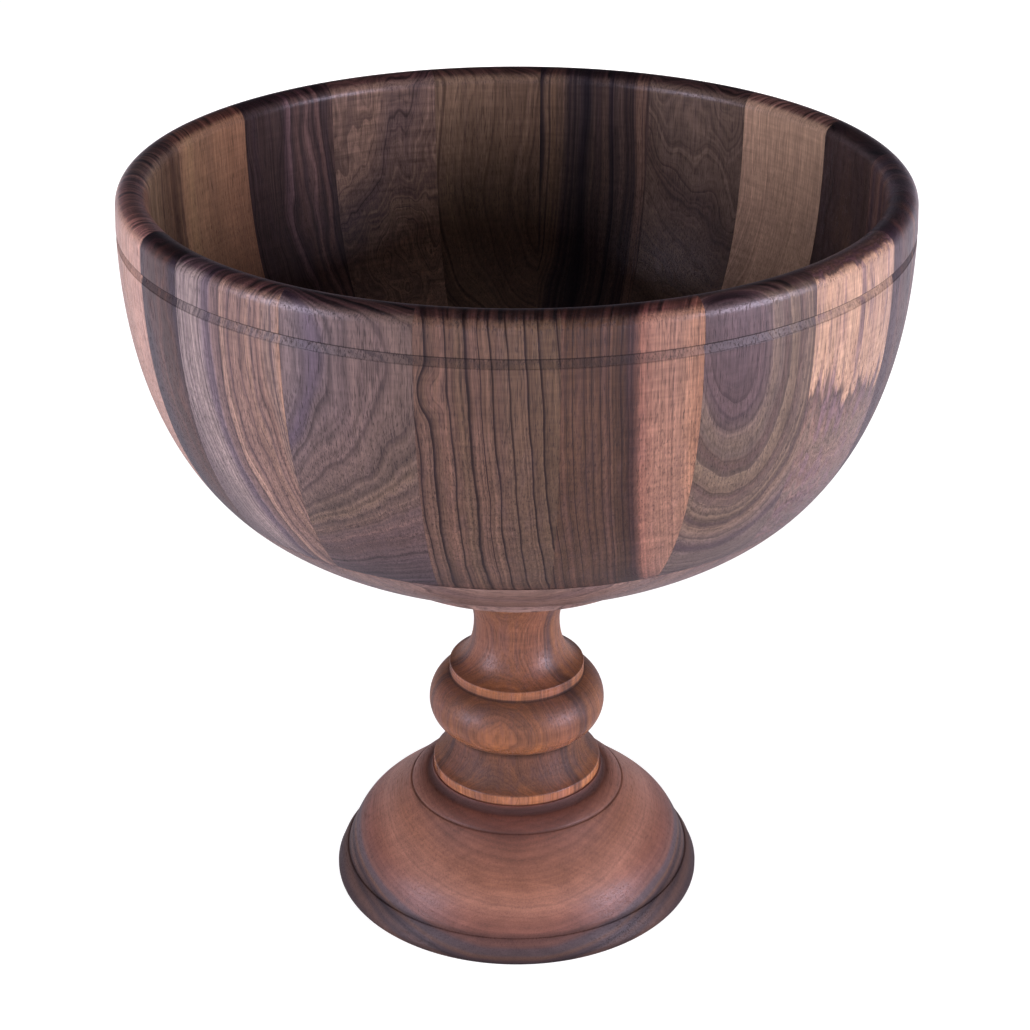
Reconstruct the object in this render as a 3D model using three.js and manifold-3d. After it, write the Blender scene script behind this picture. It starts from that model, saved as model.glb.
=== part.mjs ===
// A footed urn bowl, turned from walnut.
//
// Upright staves are glued edge to edge into a ring and stand on a bottom board, which closes the
// bowl. A turned stem carries the board on a round tenon, and a second tenon sets the stem into a
// moulded foot. A screw and washer, driven from the hollow under the foot, draw the foot on to the stem.
// Lengths are millimetres, +Z is up, and the foot stands on z = 0 about the Z axis.

import * as THREE from 'three';
import { mergeVertices } from 'three/addons/utils/BufferGeometryUtils.js';
import Module from 'manifold-3d';

// Heights of the four layers, from the surface the foot stands on
const footHeight = 49.3;
const stemLength = 105.4;
const boardThickness = 42.3;
const staveHeight = 113.7;

// Fits between the pieces
const jointClearance = 0.3;

// A slope is in degrees above level, pointing away from the axis. A pull says how far a curve keeps
// to the slope at its end, as a share of the distance between its two ends.

// Bowl wall and rim
const bowlRadius = 150.5;
const wallThickness = 12.2;
const rimInset = 0.4;
const grooveDrop = 14.8;
const grooveWidth = 3.4;
const grooveDepth = 0.9;
const grooveSlope = 0.5;
const bellyPull = 0.415;
const insideBellyPull = 0.48;

// Seam between the ring of staves and the bottom board
const seamRadius = 122.6;
const seamSlope = 50.2;
const seamPull = 0.286;
const insideSeamWidth = 17.8;
const insideSeamSlope = 40.7;
const insideSeamPull = 0.3;

// Bottom board
const boardPull = 0.347;
const insideBoardPull = 0.2;
const floorThickness = 17.3;
const floorPull = 0.52;
const padRadius = 61.7;
const padHeight = 6.1;
const padSlope = 18.9;
const padPull = 0.282;

// Stem: two tenons, two coves with their fillets, a bead and the neck
const topTenonRadius = 13;
const topTenonLength = 9;
const shoulderRadius = 31;
const shoulderHeight = 4.2;
const shoulderSlope = 57;
const shoulderPull = 0.45;
const neckRadius = 17.75;
const neckDrop = 35.7;
const neckPullUp = 0.23;
const neckPullDown = 0.54;
const upperFilletRadius = 28;
const upperFilletDrop = 55.5;
const upperFilletHeight = 4.6;
const upperFilletSlope = -13;
const upperFilletPull = 0.25;
const beadRadius = 36.6;
const beadWidth = 12;
const beadRise = 13.5;
const beadFall = 12.5;
const beadWaistRadius = 27.2;
const beadWaistPull = 0.39;
const lowerFilletRadius = 35.2;
const lowerFilletHeight = 4.2;
const lowerFilletSlope = -31;
const lowerFilletPull = 0.29;
const footTenonRadius = 14;
const footTenonLength = 20;
const tenonChamfer = 1;

// Foot: a cove and a raised ring round the stem, a dome, and a lip to stand on
const landingWidth = 0.7;
const footCoveWidth = 2.9;
const footCoveDrop = 3.2;
const footCovePull = 0.44;
const ringRadius = 44.5;
const ringSlope = -49;
const ringInnerSlope = -11;
const ringPull = 0.3;
const ringDrop = 6.9;
const ringStep = 0.8;
const domeTopWidth = 0.9;
const domeTopSlope = -44.7;
const domeTopPull = 0.62;
const domeBottomRadius = 72.5;
const domeBottomSlope = -69.5;
const domeBottomPull = 0.43;
const lipHeight = 10;
const lipGroove = 0.6;
const lipRadius = 77.3;
const lipFlat = 2.2;
const lipRounding = 0.5;
const standingWidth = 15;
const hollowDepth = 3;
const hollowBevel = 2;

// Screw and washer under the foot
const screwRadius = 2.5;
const screwLength = 48;
const screwPoint = 6;
const headRadius = 4.8;
const headHeight = 3.4;
const headRimSlope = 76;
const headCrownPull = 0.5;
const headRimPull = 0.28;
const crossWidth = 1.1;
const crossSpan = 5.2;
const crossDepth = 1.8;
const washerRadius = 10;
const washerThickness = 1.5;
const counterboreDepth = 14;
const counterboreClearance = 1;
const screwEndRoom = 2;

// How finely round shapes are cut
const largeSteps = 48;
const stemSteps = 32;
const screwSteps = 16;

// Woods and metal, as seen under plain light
const LIGHT_WALNUT = '#9c7a62';
const TAN_WALNUT = '#8a6652';
const BROWN_WALNUT = '#6f5244';
const GREY_WALNUT = '#6d5a50';
const PINK_SAPWOOD = '#96766a';
const DARK_WALNUT = '#4b3a36';
const BOARD_WALNUT = '#6b4f44';
const STEM_WALNUT = '#7b5747';
const FOOT_WALNUT = '#85594c';
const ZINC = '#b9bcc0';

// The staves as they came from the saw, anticlockwise from the seam at the right of the back
const firstSeam = 26.2;
const cutStaves = [
  { width: 53.3, tone: LIGHT_WALNUT },
  { width: 50.7, tone: BROWN_WALNUT },
  { width: 52.5, tone: DARK_WALNUT },
  { width: 49.9, tone: BROWN_WALNUT },
  { width: 51.5, tone: DARK_WALNUT },
  { width: 51.0, tone: BROWN_WALNUT },
  { width: 52.8, tone: LIGHT_WALNUT },
  { width: 58.3, tone: GREY_WALNUT },
  { width: 58.8, tone: PINK_SAPWOOD },
  { width: 27.3, tone: BROWN_WALNUT },
  { width: 51.5, tone: GREY_WALNUT },
  { width: 48.6, tone: GREY_WALNUT },
  { width: 48.3, tone: BROWN_WALNUT },
  { width: 49.1, tone: PINK_SAPWOOD },
  { width: 47.3, tone: GREY_WALNUT },
  { width: 52.0, tone: TAN_WALNUT },
  { width: 47.5, tone: DARK_WALNUT },
  { width: 47.5, tone: DARK_WALNUT },
  { width: 47.5, tone: BROWN_WALNUT },
];

// Slopes with a name of their own
const level = 0;
const upright = 90;

// Places that more than one piece shares
const boardBottom = footHeight + stemLength;
const seamHeight = boardBottom + boardThickness;
const rimHeight = seamHeight + staveHeight;
const grooveTop = rimHeight - grooveDrop;
const grooveBottom = grooveTop - grooveWidth;
const insideSeamRadius = seamRadius - insideSeamWidth;
const bowlFloor = boardBottom + floorThickness;
const washerTop = counterboreDepth;
const screwSeat = washerTop - washerThickness;
const screwTip = screwSeat + screwLength;
const screwHoleRadius = screwRadius + jointClearance;
const tenonEnd = footHeight - footTenonLength;
const mortiseFloor = tenonEnd - jointClearance;

const wasm = await Module();
wasm.setup();

// A point of an outline: distance from the axis, and height
function at(radius, height) {
  return new THREE.Vector2(radius, height);
}

// A direction in an outline, in degrees above level, pointing away from the axis
function heading(degrees) {
  const angle = THREE.MathUtils.degToRad(degrees);
  return new THREE.Vector2(Math.cos(angle), Math.sin(angle));
}

// A fair curve between two ends: each gives its point, its slope and its pull. The curve leaves the
// inner end outwards along its slope and comes to the outer end along the outer slope.
function sweep(inner, outer, steps) {
  const distance = inner.point.distanceTo(outer.point);
  const innerHandle = heading(inner.slope).multiplyScalar(inner.pull * distance).add(inner.point);
  const outerHandle = heading(outer.slope).multiplyScalar(-outer.pull * distance).add(outer.point);
  return new THREE.CubicBezierCurve(inner.point, innerHandle, outerHandle, outer.point).getPoints(steps);
}

// Part of an ellipse, between two angles in degrees measured from the outward direction
function bow(centre, width, rise, startDegrees, endDegrees, steps) {
  const start = THREE.MathUtils.degToRad(startDegrees);
  const end = THREE.MathUtils.degToRad(endDegrees);
  const clockwise = endDegrees < startDegrees;
  return new THREE.EllipseCurve(centre.x, centre.y, width, rise, start, end, clockwise).getPoints(steps);
}

// Joins points and runs of points into one outline, without repeats
function outlineOf(...runs) {
  const nearest = 0.001;
  const points = [];
  for (const point of runs.flat()) {
    const last = points.at(-1);
    if (!last || last.distanceTo(point) > nearest) {
      points.push(point);
    }
  }
  return points;
}

// Turns an outline about the Z axis; it starts and ends on the axis, or closes on itself
function turned(outline, steps) {
  const geometry = new THREE.LatheGeometry(outline, steps);
  geometry.rotateX(Math.PI / 2);
  return geometry;
}

// Sweeps a closed outline round part of a circle, with a flat face at each end
function sector(outline, angles) {
  const count = outline.length;
  const positions = [];
  for (const angle of angles) {
    for (const point of outline) {
      positions.push(point.x * Math.cos(angle), point.x * Math.sin(angle), point.y);
    }
  }
  const triangles = [];
  for (let step = 0; step < angles.length - 1; step += 1) {
    for (let i = 0; i < count; i += 1) {
      const a = step * count + i;
      const b = step * count + ((i + 1) % count);
      triangles.push(a, a + count, b, b, a + count, b + count);
    }
  }
  const last = (angles.length - 1) * count;
  for (const [a, b, c] of THREE.ShapeUtils.triangulateShape(outline, [])) {
    triangles.push(a, b, c, last + a, last + c, last + b);
  }
  const geometry = new THREE.BufferGeometry();
  geometry.setAttribute('position', new THREE.Float32BufferAttribute(positions, 3));
  geometry.setIndex(triangles);
  return geometry;
}

// Makes a solid that can be cut from a closed geometry
function solidOf(geometry) {
  const bare = geometry.clone();
  bare.deleteAttribute('normal');
  bare.deleteAttribute('uv');
  const merged = mergeVertices(bare, 1e-4);
  const vertProperties = new Float32Array(merged.attributes.position.array);
  const triVerts = new Uint32Array(merged.index.array);
  return new wasm.Manifold(new wasm.Mesh({ numProp: 3, vertProperties, triVerts }));
}

// Makes a geometry from a cut solid
function geometryOf(solid) {
  const { vertProperties, triVerts } = solid.getMesh();
  const geometry = new THREE.BufferGeometry();
  geometry.setAttribute('position', new THREE.BufferAttribute(vertProperties, 3));
  geometry.setIndex(new THREE.BufferAttribute(triVerts, 1));
  return geometry;
}

// Outline of the bowl's wall above the board: outside, groove, round rim and inside
function staveOutline() {
  const seam = at(seamRadius, seamHeight);
  const shoulder = at(bowlRadius, grooveBottom);
  const rimRadius = wallThickness / 2;
  const rimCentre = at(bowlRadius - rimInset - rimRadius, rimHeight - rimRadius);
  const insideTop = at(rimCentre.x - rimRadius, rimCentre.y);
  const insideSeam = at(insideSeamRadius, seamHeight);
  const outside = sweep(
    { point: seam, slope: seamSlope, pull: seamPull },
    { point: shoulder, slope: upright, pull: bellyPull },
    11,
  );
  const groove = [
    at(bowlRadius - grooveDepth, grooveTop - grooveSlope),
    at(bowlRadius, grooveTop),
  ];
  const rim = bow(rimCentre, rimRadius, rimRadius, 0, 180, 8);
  const inside = sweep(
    { point: insideSeam, slope: insideSeamSlope, pull: insideSeamPull },
    { point: insideTop, slope: upright, pull: insideBellyPull },
    9,
  );
  return outlineOf(outside, groove, rim, inside.reverse());
}

// Angles at which a stave's curve is cut: its two seams and the even steps between them
function staveAngles(start, end) {
  const step = (2 * Math.PI) / largeSteps;
  const least = THREE.MathUtils.degToRad(1);
  const angles = [start];
  for (let i = Math.ceil(start / step); i * step < end; i += 1) {
    const angle = i * step;
    if (angle - start > least && end - angle > least) {
      angles.push(angle);
    }
  }
  angles.push(end);
  return angles;
}

// The ring of staves, whose sawn widths share out the full circle
function staves() {
  const outline = staveOutline();
  const total = cutStaves.reduce((sum, stave) => sum + stave.width, 0);
  const seams = [THREE.MathUtils.degToRad(firstSeam)];
  for (const stave of cutStaves) {
    seams.push(seams.at(-1) + (2 * Math.PI * stave.width) / total);
  }
  return cutStaves.map((stave, i) => {
    const angles = staveAngles(seams[i], seams[i + 1]);
    if (i === cutStaves.length - 1) {
      angles[angles.length - 1] = seams[0];
    }
    const name = `stave_${String(i + 1).padStart(2, '0')}`;
    return piece(name, sector(outline, angles), stave.tone);
  });
}

// The board that closes the bowl, with the pad and mortise that take the stem
function bottomBoard() {
  const mortiseRadius = topTenonRadius + jointClearance;
  const mortiseTop = boardBottom + topTenonLength + jointClearance;
  const outside = sweep(
    { point: at(padRadius, boardBottom + padHeight), slope: padSlope, pull: padPull },
    { point: at(seamRadius, seamHeight), slope: seamSlope, pull: boardPull },
    9,
  );
  const inside = sweep(
    { point: at(0, bowlFloor), slope: level, pull: floorPull },
    { point: at(insideSeamRadius, seamHeight), slope: insideSeamSlope, pull: insideBoardPull },
    8,
  );
  const outline = outlineOf(
    at(0, mortiseTop),
    at(mortiseRadius, mortiseTop),
    at(mortiseRadius, boardBottom),
    at(padRadius, boardBottom),
    outside,
    inside.reverse(),
  );
  return piece('bowl_bottom_board', turned(outline, largeSteps), BOARD_WALNUT);
}

// The turned stem, from the pilot hole in its lower tenon to the end of its upper one
function stem() {
  const holeTop = screwTip + screwEndRoom;
  const lowerFilletTop = footHeight + lowerFilletHeight;
  const upperFilletTop = boardBottom - upperFilletDrop;
  const neck = at(neckRadius, boardBottom - neckDrop);
  const shoulder = at(shoulderRadius, boardBottom - shoulderHeight);
  const tenonTop = boardBottom + topTenonLength;

  const lowerTenon = [
    at(footTenonRadius - tenonChamfer, tenonEnd),
    at(footTenonRadius, tenonEnd + tenonChamfer),
    at(footTenonRadius, footHeight),
  ];
  const beadAxis = beadRadius - beadWidth;
  const crownAngle = Math.acos((upperFilletRadius - beadAxis) / beadWidth);
  const waistAngle = Math.acos((beadWaistRadius - beadAxis) / beadWidth);
  const crownRise = beadRise * Math.sin(crownAngle);
  const beadCentre = at(beadAxis, upperFilletTop - upperFilletHeight - crownRise);
  const underside = bow(beadCentre, beadWidth, beadFall, -THREE.MathUtils.radToDeg(waistAngle), 0, 6);
  const topside = bow(beadCentre, beadWidth, beadRise, 0, THREE.MathUtils.radToDeg(crownAngle), 6);
  const lowerCove = sweep(
    { point: underside[0], slope: -upright, pull: beadWaistPull },
    { point: at(lowerFilletRadius, lowerFilletTop), slope: lowerFilletSlope, pull: lowerFilletPull },
    6,
  );
  const upperCove = sweep(
    { point: neck, slope: -upright, pull: neckPullDown },
    { point: at(upperFilletRadius, upperFilletTop), slope: upperFilletSlope, pull: upperFilletPull },
    7,
  );
  const topCove = sweep(
    { point: neck, slope: upright, pull: neckPullUp },
    { point: shoulder, slope: shoulderSlope, pull: shoulderPull },
    7,
  );
  const upperTenon = [
    at(topTenonRadius, boardBottom),
    at(topTenonRadius, tenonTop - tenonChamfer),
    at(topTenonRadius - tenonChamfer, tenonTop),
  ];
  const outline = outlineOf(
    at(0, holeTop),
    at(screwHoleRadius, holeTop - screwHoleRadius),
    at(screwHoleRadius, tenonEnd),
    lowerTenon,
    at(lowerFilletRadius, footHeight),
    lowerCove.reverse(),
    underside,
    topside,
    upperCove.reverse(),
    topCove,
    at(shoulderRadius, boardBottom),
    upperTenon,
    at(0, tenonTop),
  );
  return piece('stem', turned(outline, stemSteps), STEM_WALNUT);
}

// The foot: screw hole, hollow underside, lip, dome, ring, cove and mortise, closed on itself
function foot() {
  const counterboreRadius = washerRadius + counterboreClearance;
  const mortiseRadius = footTenonRadius + jointClearance;
  const hollowRadius = lipRadius - standingWidth;
  const landingRadius = lowerFilletRadius + landingWidth;
  const coveEnd = at(landingRadius + footCoveWidth, footHeight - footCoveDrop);
  const ringEdge = at(ringRadius, footHeight - ringDrop);
  const domeTop = at(ringRadius + domeTopWidth, ringEdge.y - ringStep);
  const domeBottom = at(domeBottomRadius, lipHeight + lipGroove);
  const lipTop = at(domeBottomRadius + lipGroove, lipHeight);
  const lipSide = at(lipRadius, lipFlat);

  const hollow = [
    at(counterboreRadius, hollowDepth),
    at(hollowRadius - hollowBevel, hollowDepth),
    at(hollowRadius, 0),
  ];
  const lip = [
    at(lipRadius - lipRounding, 0),
    at(lipRadius, lipRounding),
    lipSide,
    at(lipRadius - lipRounding / 2, lipFlat + lipRounding),
    at((lipTop.x + lipSide.x) / 2 + lipRounding, (lipTop.y + lipSide.y) / 2),
    lipTop,
  ];
  const dome = sweep(
    { point: domeTop, slope: domeTopSlope, pull: domeTopPull },
    { point: domeBottom, slope: domeBottomSlope, pull: domeBottomPull },
    9,
  );
  const ring = sweep(
    { point: coveEnd, slope: ringInnerSlope, pull: ringPull },
    { point: ringEdge, slope: ringSlope, pull: ringPull },
    3,
  );
  const cove = sweep(
    { point: at(landingRadius, footHeight), slope: -upright, pull: footCovePull },
    { point: coveEnd, slope: level, pull: footCovePull },
    4,
  );
  const mortise = [
    at(mortiseRadius, footHeight),
    at(mortiseRadius, mortiseFloor),
    at(screwHoleRadius, mortiseFloor),
  ];
  const outline = outlineOf(
    at(screwHoleRadius, counterboreDepth),
    at(counterboreRadius, counterboreDepth),
    hollow,
    lip,
    dome.reverse(),
    at(ringRadius, domeTop.y),
    ring.reverse(),
    cove.reverse(),
    mortise,
    at(screwHoleRadius, counterboreDepth),
  );
  return piece('foot', turned(outline, largeSteps), FOOT_WALNUT);
}

// The flat washer that spreads the screw's pull over the end of the counterbore
function washer() {
  const outline = outlineOf(
    at(screwHoleRadius, screwSeat),
    at(washerRadius, screwSeat),
    at(washerRadius, washerTop),
    at(screwHoleRadius, washerTop),
    at(screwHoleRadius, screwSeat),
  );
  return piece('foot_washer', turned(outline, screwSteps * 2), ZINC);
}

// The wood screw, head down, with a cross cut for the driver
function footScrew() {
  const headBottom = screwSeat - headHeight;
  const crown = sweep(
    { point: at(0, headBottom), slope: level, pull: headCrownPull },
    { point: at(headRadius, screwSeat), slope: headRimSlope, pull: headRimPull },
    5,
  );
  const outline = outlineOf(
    crown,
    at(screwRadius, screwSeat),
    at(screwRadius, screwTip - screwPoint),
    at(0, screwTip),
  );
  const blank = solidOf(turned(outline, screwSteps));
  const slot = new THREE.BoxGeometry(crossSpan, crossWidth, crossDepth * 2);
  slot.translate(0, 0, headBottom);
  const crossSlot = slot.clone().rotateZ(Math.PI / 2);
  const screw = blank.subtract(solidOf(slot)).subtract(solidOf(crossSlot));
  const metal = { roughness: 0.35, metalness: 1 };
  return piece('foot_screw', geometryOf(screw), ZINC, metal);
}

// A named mesh with its own material; wood unless told otherwise
function piece(name, geometry, color, finish = { roughness: 0.45, metalness: 0 }) {
  const material = new THREE.MeshStandardMaterial({ color, ...finish });
  const mesh = new THREE.Mesh(geometry, material);
  mesh.name = name;
  return mesh;
}

const bowl = new THREE.Group();
bowl.add(...staves(), bottomBoard());

const pedestal = new THREE.Group();
pedestal.add(stem(), foot(), washer(), footScrew());

const urnBowl = new THREE.Group();
urnBowl.add(bowl, pedestal);

export default urnBowl;
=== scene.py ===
"""Looks of a footed urn bowl, turned from black walnut.

Nineteen upright staves make the bowl, a level board closes it, and a turned stem
on a moulded foot carries it. Each piece is turned here from the same outline as
its solid, with finer steps, and gets the walnut of its own board: the tree's
rings are cut by the piece's curve, as in the real one. The bowl's lengths are
written in millimetres, the studio's in metres, and angles in degrees; meshes are
in metres.
"""

from __future__ import annotations

import logging
import math
from dataclasses import dataclass
from enum import Enum, IntEnum

import bmesh
import bpy
from mathutils import Euler, Matrix, Vector


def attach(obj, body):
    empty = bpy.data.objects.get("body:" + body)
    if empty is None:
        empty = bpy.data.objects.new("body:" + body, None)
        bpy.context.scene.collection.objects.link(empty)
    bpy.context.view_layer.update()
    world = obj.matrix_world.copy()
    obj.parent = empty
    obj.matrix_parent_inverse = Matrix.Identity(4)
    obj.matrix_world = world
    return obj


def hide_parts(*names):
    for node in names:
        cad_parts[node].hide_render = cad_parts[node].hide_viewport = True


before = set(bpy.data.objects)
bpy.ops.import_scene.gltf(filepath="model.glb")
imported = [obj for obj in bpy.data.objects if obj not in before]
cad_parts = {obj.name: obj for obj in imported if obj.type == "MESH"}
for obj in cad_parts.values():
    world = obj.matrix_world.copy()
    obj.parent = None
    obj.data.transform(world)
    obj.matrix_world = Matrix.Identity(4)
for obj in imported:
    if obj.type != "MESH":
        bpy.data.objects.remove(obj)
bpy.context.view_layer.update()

LOG = logging.getLogger("urn_bowl")
MM = 0.001
# An edge is rounded where its two faces meet at more than this angle, in degrees.
CRISP_DEG = 28.0
# A stave's end faces are its only faces with more corners than this.
MOST_CORNERS = 8

# A pair of sizes, such as a point of an outline as (radius, height).
Point = tuple[float, float]
# A radius and the two heights that it keeps between.
Fillet = tuple[float, float, float]
# Three lengths along the axes x, y and z, or three angles about them.
Place = tuple[float, float, float]
Tree = bpy.types.NodeTree
Source = bpy.types.Node | bpy.types.NodeSocket


@dataclass(frozen=True)
class End:
    """One end of a curve: its place, its slope and how far the curve keeps to it.

    Attributes:
        radius: Distance from the turning axis.
        height: Height above the surface that the bowl stands on.
        slope: Degrees above level, pointing away from the axis.
        pull: Length of the handle, as a share of the distance between the ends.
    """

    radius: float
    height: float
    slope: float
    pull: float


def sweep(inner: End, outer: End, steps: int) -> list[Point]:
    """Gives points of a fair curve between two ends.

    Args:
        inner: The end that the curve leaves along its slope.
        outer: The end that the curve reaches along its slope.
        steps: How many pieces the curve is cut into.

    Returns:
        The points, inner end first, as (radius, height).
    """
    start = Vector((inner.radius, inner.height))
    end = Vector((outer.radius, outer.height))
    reach = (end - start).length
    out, back = math.radians(inner.slope), math.radians(outer.slope)
    handle_a = start + Vector((math.cos(out), math.sin(out))) * inner.pull * reach
    handle_b = end - Vector((math.cos(back), math.sin(back))) * outer.pull * reach
    points = []
    for i in range(steps + 1):
        t = i / steps
        s = 1 - t
        p = start * s**3 + handle_a * 3 * s * s * t + handle_b * 3 * s * t * t + end * t**3
        points.append((p.x, p.y))
    return points


def bow(
    centre: Point, width: float, rise: float, start: float, end: float, steps: int,
) -> list[Point]:
    """Gives points of part of an ellipse.

    Args:
        centre: Middle of the ellipse as (radius, height).
        width: Half the ellipse's width.
        rise: Half the ellipse's height.
        start: First angle, in degrees from the outward direction.
        end: Last angle.
        steps: How many pieces the arc is cut into.

    Returns:
        The points from start to end.
    """
    angles = [math.radians(start + (end - start) * i / steps) for i in range(steps + 1)]
    return [(centre[0] + width * math.cos(a), centre[1] + rise * math.sin(a)) for a in angles]


def outline_of(*runs: list[Point]) -> list[Point]:
    """Joins runs of points into one outline.

    Args:
        runs: Lists of points that follow each other.

    Returns:
        One list, without a point that repeats the one before it.
    """
    points: list[Point] = []
    for point in (p for run in runs for p in run):
        if not points or math.dist(points[-1], point) > 0.001:
            points.append(point)
    return points


def finish_mesh(name: str, bm: bmesh.types.BMesh, crisp: float = 30) -> bpy.types.Object:
    """Makes a named piece from a bmesh, shaded smooth except over crisp edges.

    Args:
        name: The piece's name.
        bm: The finished shape, in metres; it is freed.
        crisp: Angle between two faces, in degrees, from which their edge stays sharp.

    Returns:
        The piece, linked to the scene, at the origin.
    """
    mesh = bpy.data.meshes.new(name)
    bm.to_mesh(mesh)
    bm.free()
    mesh.shade_smooth()
    mesh.set_sharp_from_angle(angle=math.radians(crisp))
    piece = bpy.data.objects.new(name, mesh)
    bpy.context.scene.collection.objects.link(piece)
    return piece


def draw(
    bm: bmesh.types.BMesh, outline: list[Point], angle: float, closed: bool,
) -> list[bmesh.types.BMVert | bmesh.types.BMEdge]:
    """Draws an outline in the upright plane at an angle about the axis.

    Args:
        bm: Where to draw it.
        outline: Points as (radius, height) in millimetres.
        angle: Where the plane stands, in degrees.
        closed: Whether the last point joins the first.

    Returns:
        The new vertices and edges.
    """
    c, s = math.cos(math.radians(angle)), math.sin(math.radians(angle))
    verts = [bm.verts.new((r * c * MM, r * s * MM, z * MM)) for r, z in outline]
    pairs = list(zip(verts, verts[1:]))
    if closed:
        pairs.append((verts[-1], verts[0]))
    return verts + [bm.edges.new(pair) for pair in pairs]


def round_edges(
    bm: bmesh.types.BMesh, edges: list[bmesh.types.BMEdge], radius: float, segments: int = 2,
) -> None:
    """Rounds edges by a small radius.

    Args:
        bm: The shape.
        edges: Its edges to round.
        radius: How far the rounding reaches, in millimetres.
        segments: How many strips the rounding has.
    """
    bmesh.ops.bevel(
        bm, geom=edges, offset=radius * MM, offset_type="OFFSET", affect="EDGES",
        segments=segments, profile=0.5, material=-1, clamp_overlap=True,
    )


def turn(
    name: str, outline: list[Point], steps: int, closed: bool, rounding: float,
) -> bpy.types.Object:
    """Turns an outline all the way round the axis.

    Args:
        name: The piece's name.
        outline: From axis to axis, or closed on itself.
        steps: How many steps the full turn has.
        closed: Whether the last point joins the first.
        rounding: How far crisp edges are rounded, in millimetres.

    Returns:
        The turned piece.
    """
    bm = bmesh.new()
    geometry = draw(bm, outline, 0, closed)
    bmesh.ops.spin(
        bm, geom=geometry, cent=(0, 0, 0), axis=(0, 0, 1),
        angle=math.tau, steps=steps, use_merge=True,
    )
    bmesh.ops.remove_doubles(bm, verts=bm.verts[:], dist=1e-6)
    bmesh.ops.recalc_face_normals(bm, faces=bm.faces[:])
    crisp = [e for e in bm.edges if e.is_manifold and e.calc_face_angle() > math.radians(CRISP_DEG)]
    round_edges(bm, crisp, rounding)
    return finish_mesh(name, bm)


def add_end_grain(piece: bpy.types.Object, grain: Vector) -> None:
    """Notes at each vertex how far the surface cuts across the grain.

    Args:
        piece: The piece.
        grain: Direction of its grain.
    """
    mesh = piece.data
    attribute = mesh.attributes.new("end_grain", "FLOAT", "POINT")
    values = [abs(v.normal.dot(grain)) ** 2 for v in mesh.vertices]
    attribute.data.foreach_set("value", values)


@dataclass(frozen=True)
class PaintedLightRing:
    """A ring round the piece of painted shade, or of painted highlight where its depth is below 0; in
    the stave's groove the shade also stands for oil left there.

    Attributes:
        radius: Distance of its middle from the turning axis.
        height: Height of its middle.
        full: How far it is at its strongest.
        fade: How far it fades.
        depth: How dark its painted shade is, 1 for a groove; below 0 it is a painted highlight that
            lightens.
    """

    radius: float
    height: float
    full: float
    fade: float
    depth: float = 1.0

    def at(self, place: Point) -> float:
        """Gives its strength at a place, as (radius, height)."""
        share = (self.fade - math.dist(place, (self.radius, self.height))) / (self.fade - self.full)
        return self.depth * min(1.0, max(0.0, share))


def add_painted_rings(piece: bpy.types.Object, painted_rings: tuple[PaintedLightRing, ...]) -> None:
    """Notes at each vertex its painted shade, or painted highlight where negative, which darkens or
    lightens the wood evenly.

    Args:
        piece: The piece, with its end grain noted.
        painted_rings: Where painted shade or painted highlight lies.
    """
    mesh = piece.data
    places = [(math.hypot(v.co.x, v.co.y) / MM, v.co.z / MM) for v in mesh.vertices]
    values = [sum(stain.at(place) for stain in painted_rings) for place in places]
    mesh.attributes.new("stain", "FLOAT", "POINT").data.foreach_set("value", values)
    for cut, value in zip(mesh.attributes["end_grain"].data, values):
        cut.value *= 1 - min(1.0, abs(value))


def linear(colour: str) -> tuple[float, float, float, float]:
    """Turns an sRGB hex colour to linear.

    Args:
        colour: Such as "#6b4f44".

    Returns:
        Red, green, blue and an alpha of 1.
    """
    shares = [int(colour[i : i + 2], 16) / 255 for i in (1, 3, 5)]
    return (*[s / 12.92 if s <= 0.04045 else ((s + 0.055) / 1.055) ** 2.4 for s in shares], 1.0)


def blank_tree(owner: bpy.types.Material | bpy.types.World) -> Tree:
    """Gives a material or a world an empty node tree.

    Args:
        owner: The material or world.

    Returns:
        Its node tree.
    """
    owner.use_nodes = True
    owner.node_tree.nodes.clear()
    return owner.node_tree


def add_node(tree: Tree, kind: str, inputs: dict | None = None, **settings: object) -> bpy.types.Node:
    """Adds a node with its settings and links.

    Args:
        tree: The node tree.
        kind: Blender's name for the node's type, without "ShaderNode".
        inputs: A value for each input, or the socket or node that is linked to it; a
            node stands for its first output.
        settings: Properties to set. "stops" fills a colour ramp, "curve" a curve, and
            "ranges" holds the numbers that a range runs from and to.

    Returns:
        The node.
    """
    node = tree.nodes.new(f"ShaderNode{kind}")
    inputs = dict(inputs or {})
    for name, value in settings.items():
        if name == "curve":
            curve = node.mapping.curves[0]
            while len(curve.points) < len(value):
                curve.points.new(0.5, 0.5)
            for point, place in zip(curve.points, value):
                point.location = place
            node.mapping.update()
        elif name == "stops":
            ramp = node.color_ramp
            while len(ramp.elements) < len(value):
                ramp.elements.new(1)
            for element, (place, colour) in zip(ramp.elements, value):
                element.position = place
                element.color = colour
        elif name == "ranges":
            (inputs["From Min"], inputs["From Max"]), (inputs["To Min"], inputs["To Max"]) = value
        else:
            setattr(node, name, value)
    for key, value in inputs.items():
        source = value.outputs[0] if isinstance(value, bpy.types.Node) else value
        if isinstance(source, bpy.types.NodeSocket):
            tree.links.new(source, node.inputs[key])
        else:
            node.inputs[key].default_value = source
    return node


@dataclass(frozen=True)
class Knot:
    """A place where the grain is pushed aside.

    Attributes:
        x: Place across the board, from its middle.
        z: Place along the grain, from its middle.
        radius: How far it reaches.
        push: How far it moves the rings.
        squash: How much shorter it is across the grain than along it.
    """

    x: float
    z: float
    radius: float
    push: float
    squash: float = 0.7


class Slot(Enum):
    """The record's slots of the wooden pieces."""

    LIGHT = "walnut_light"
    TAN = "walnut_tan"
    BROWN = "walnut_brown"
    GREY = "walnut_grey"
    SAPWOOD = "walnut_sapwood"
    DARK = "walnut_dark"
    BOARD = "walnut_board"
    STEM = "walnut_stem"
    FOOT = "walnut_foot"


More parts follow.
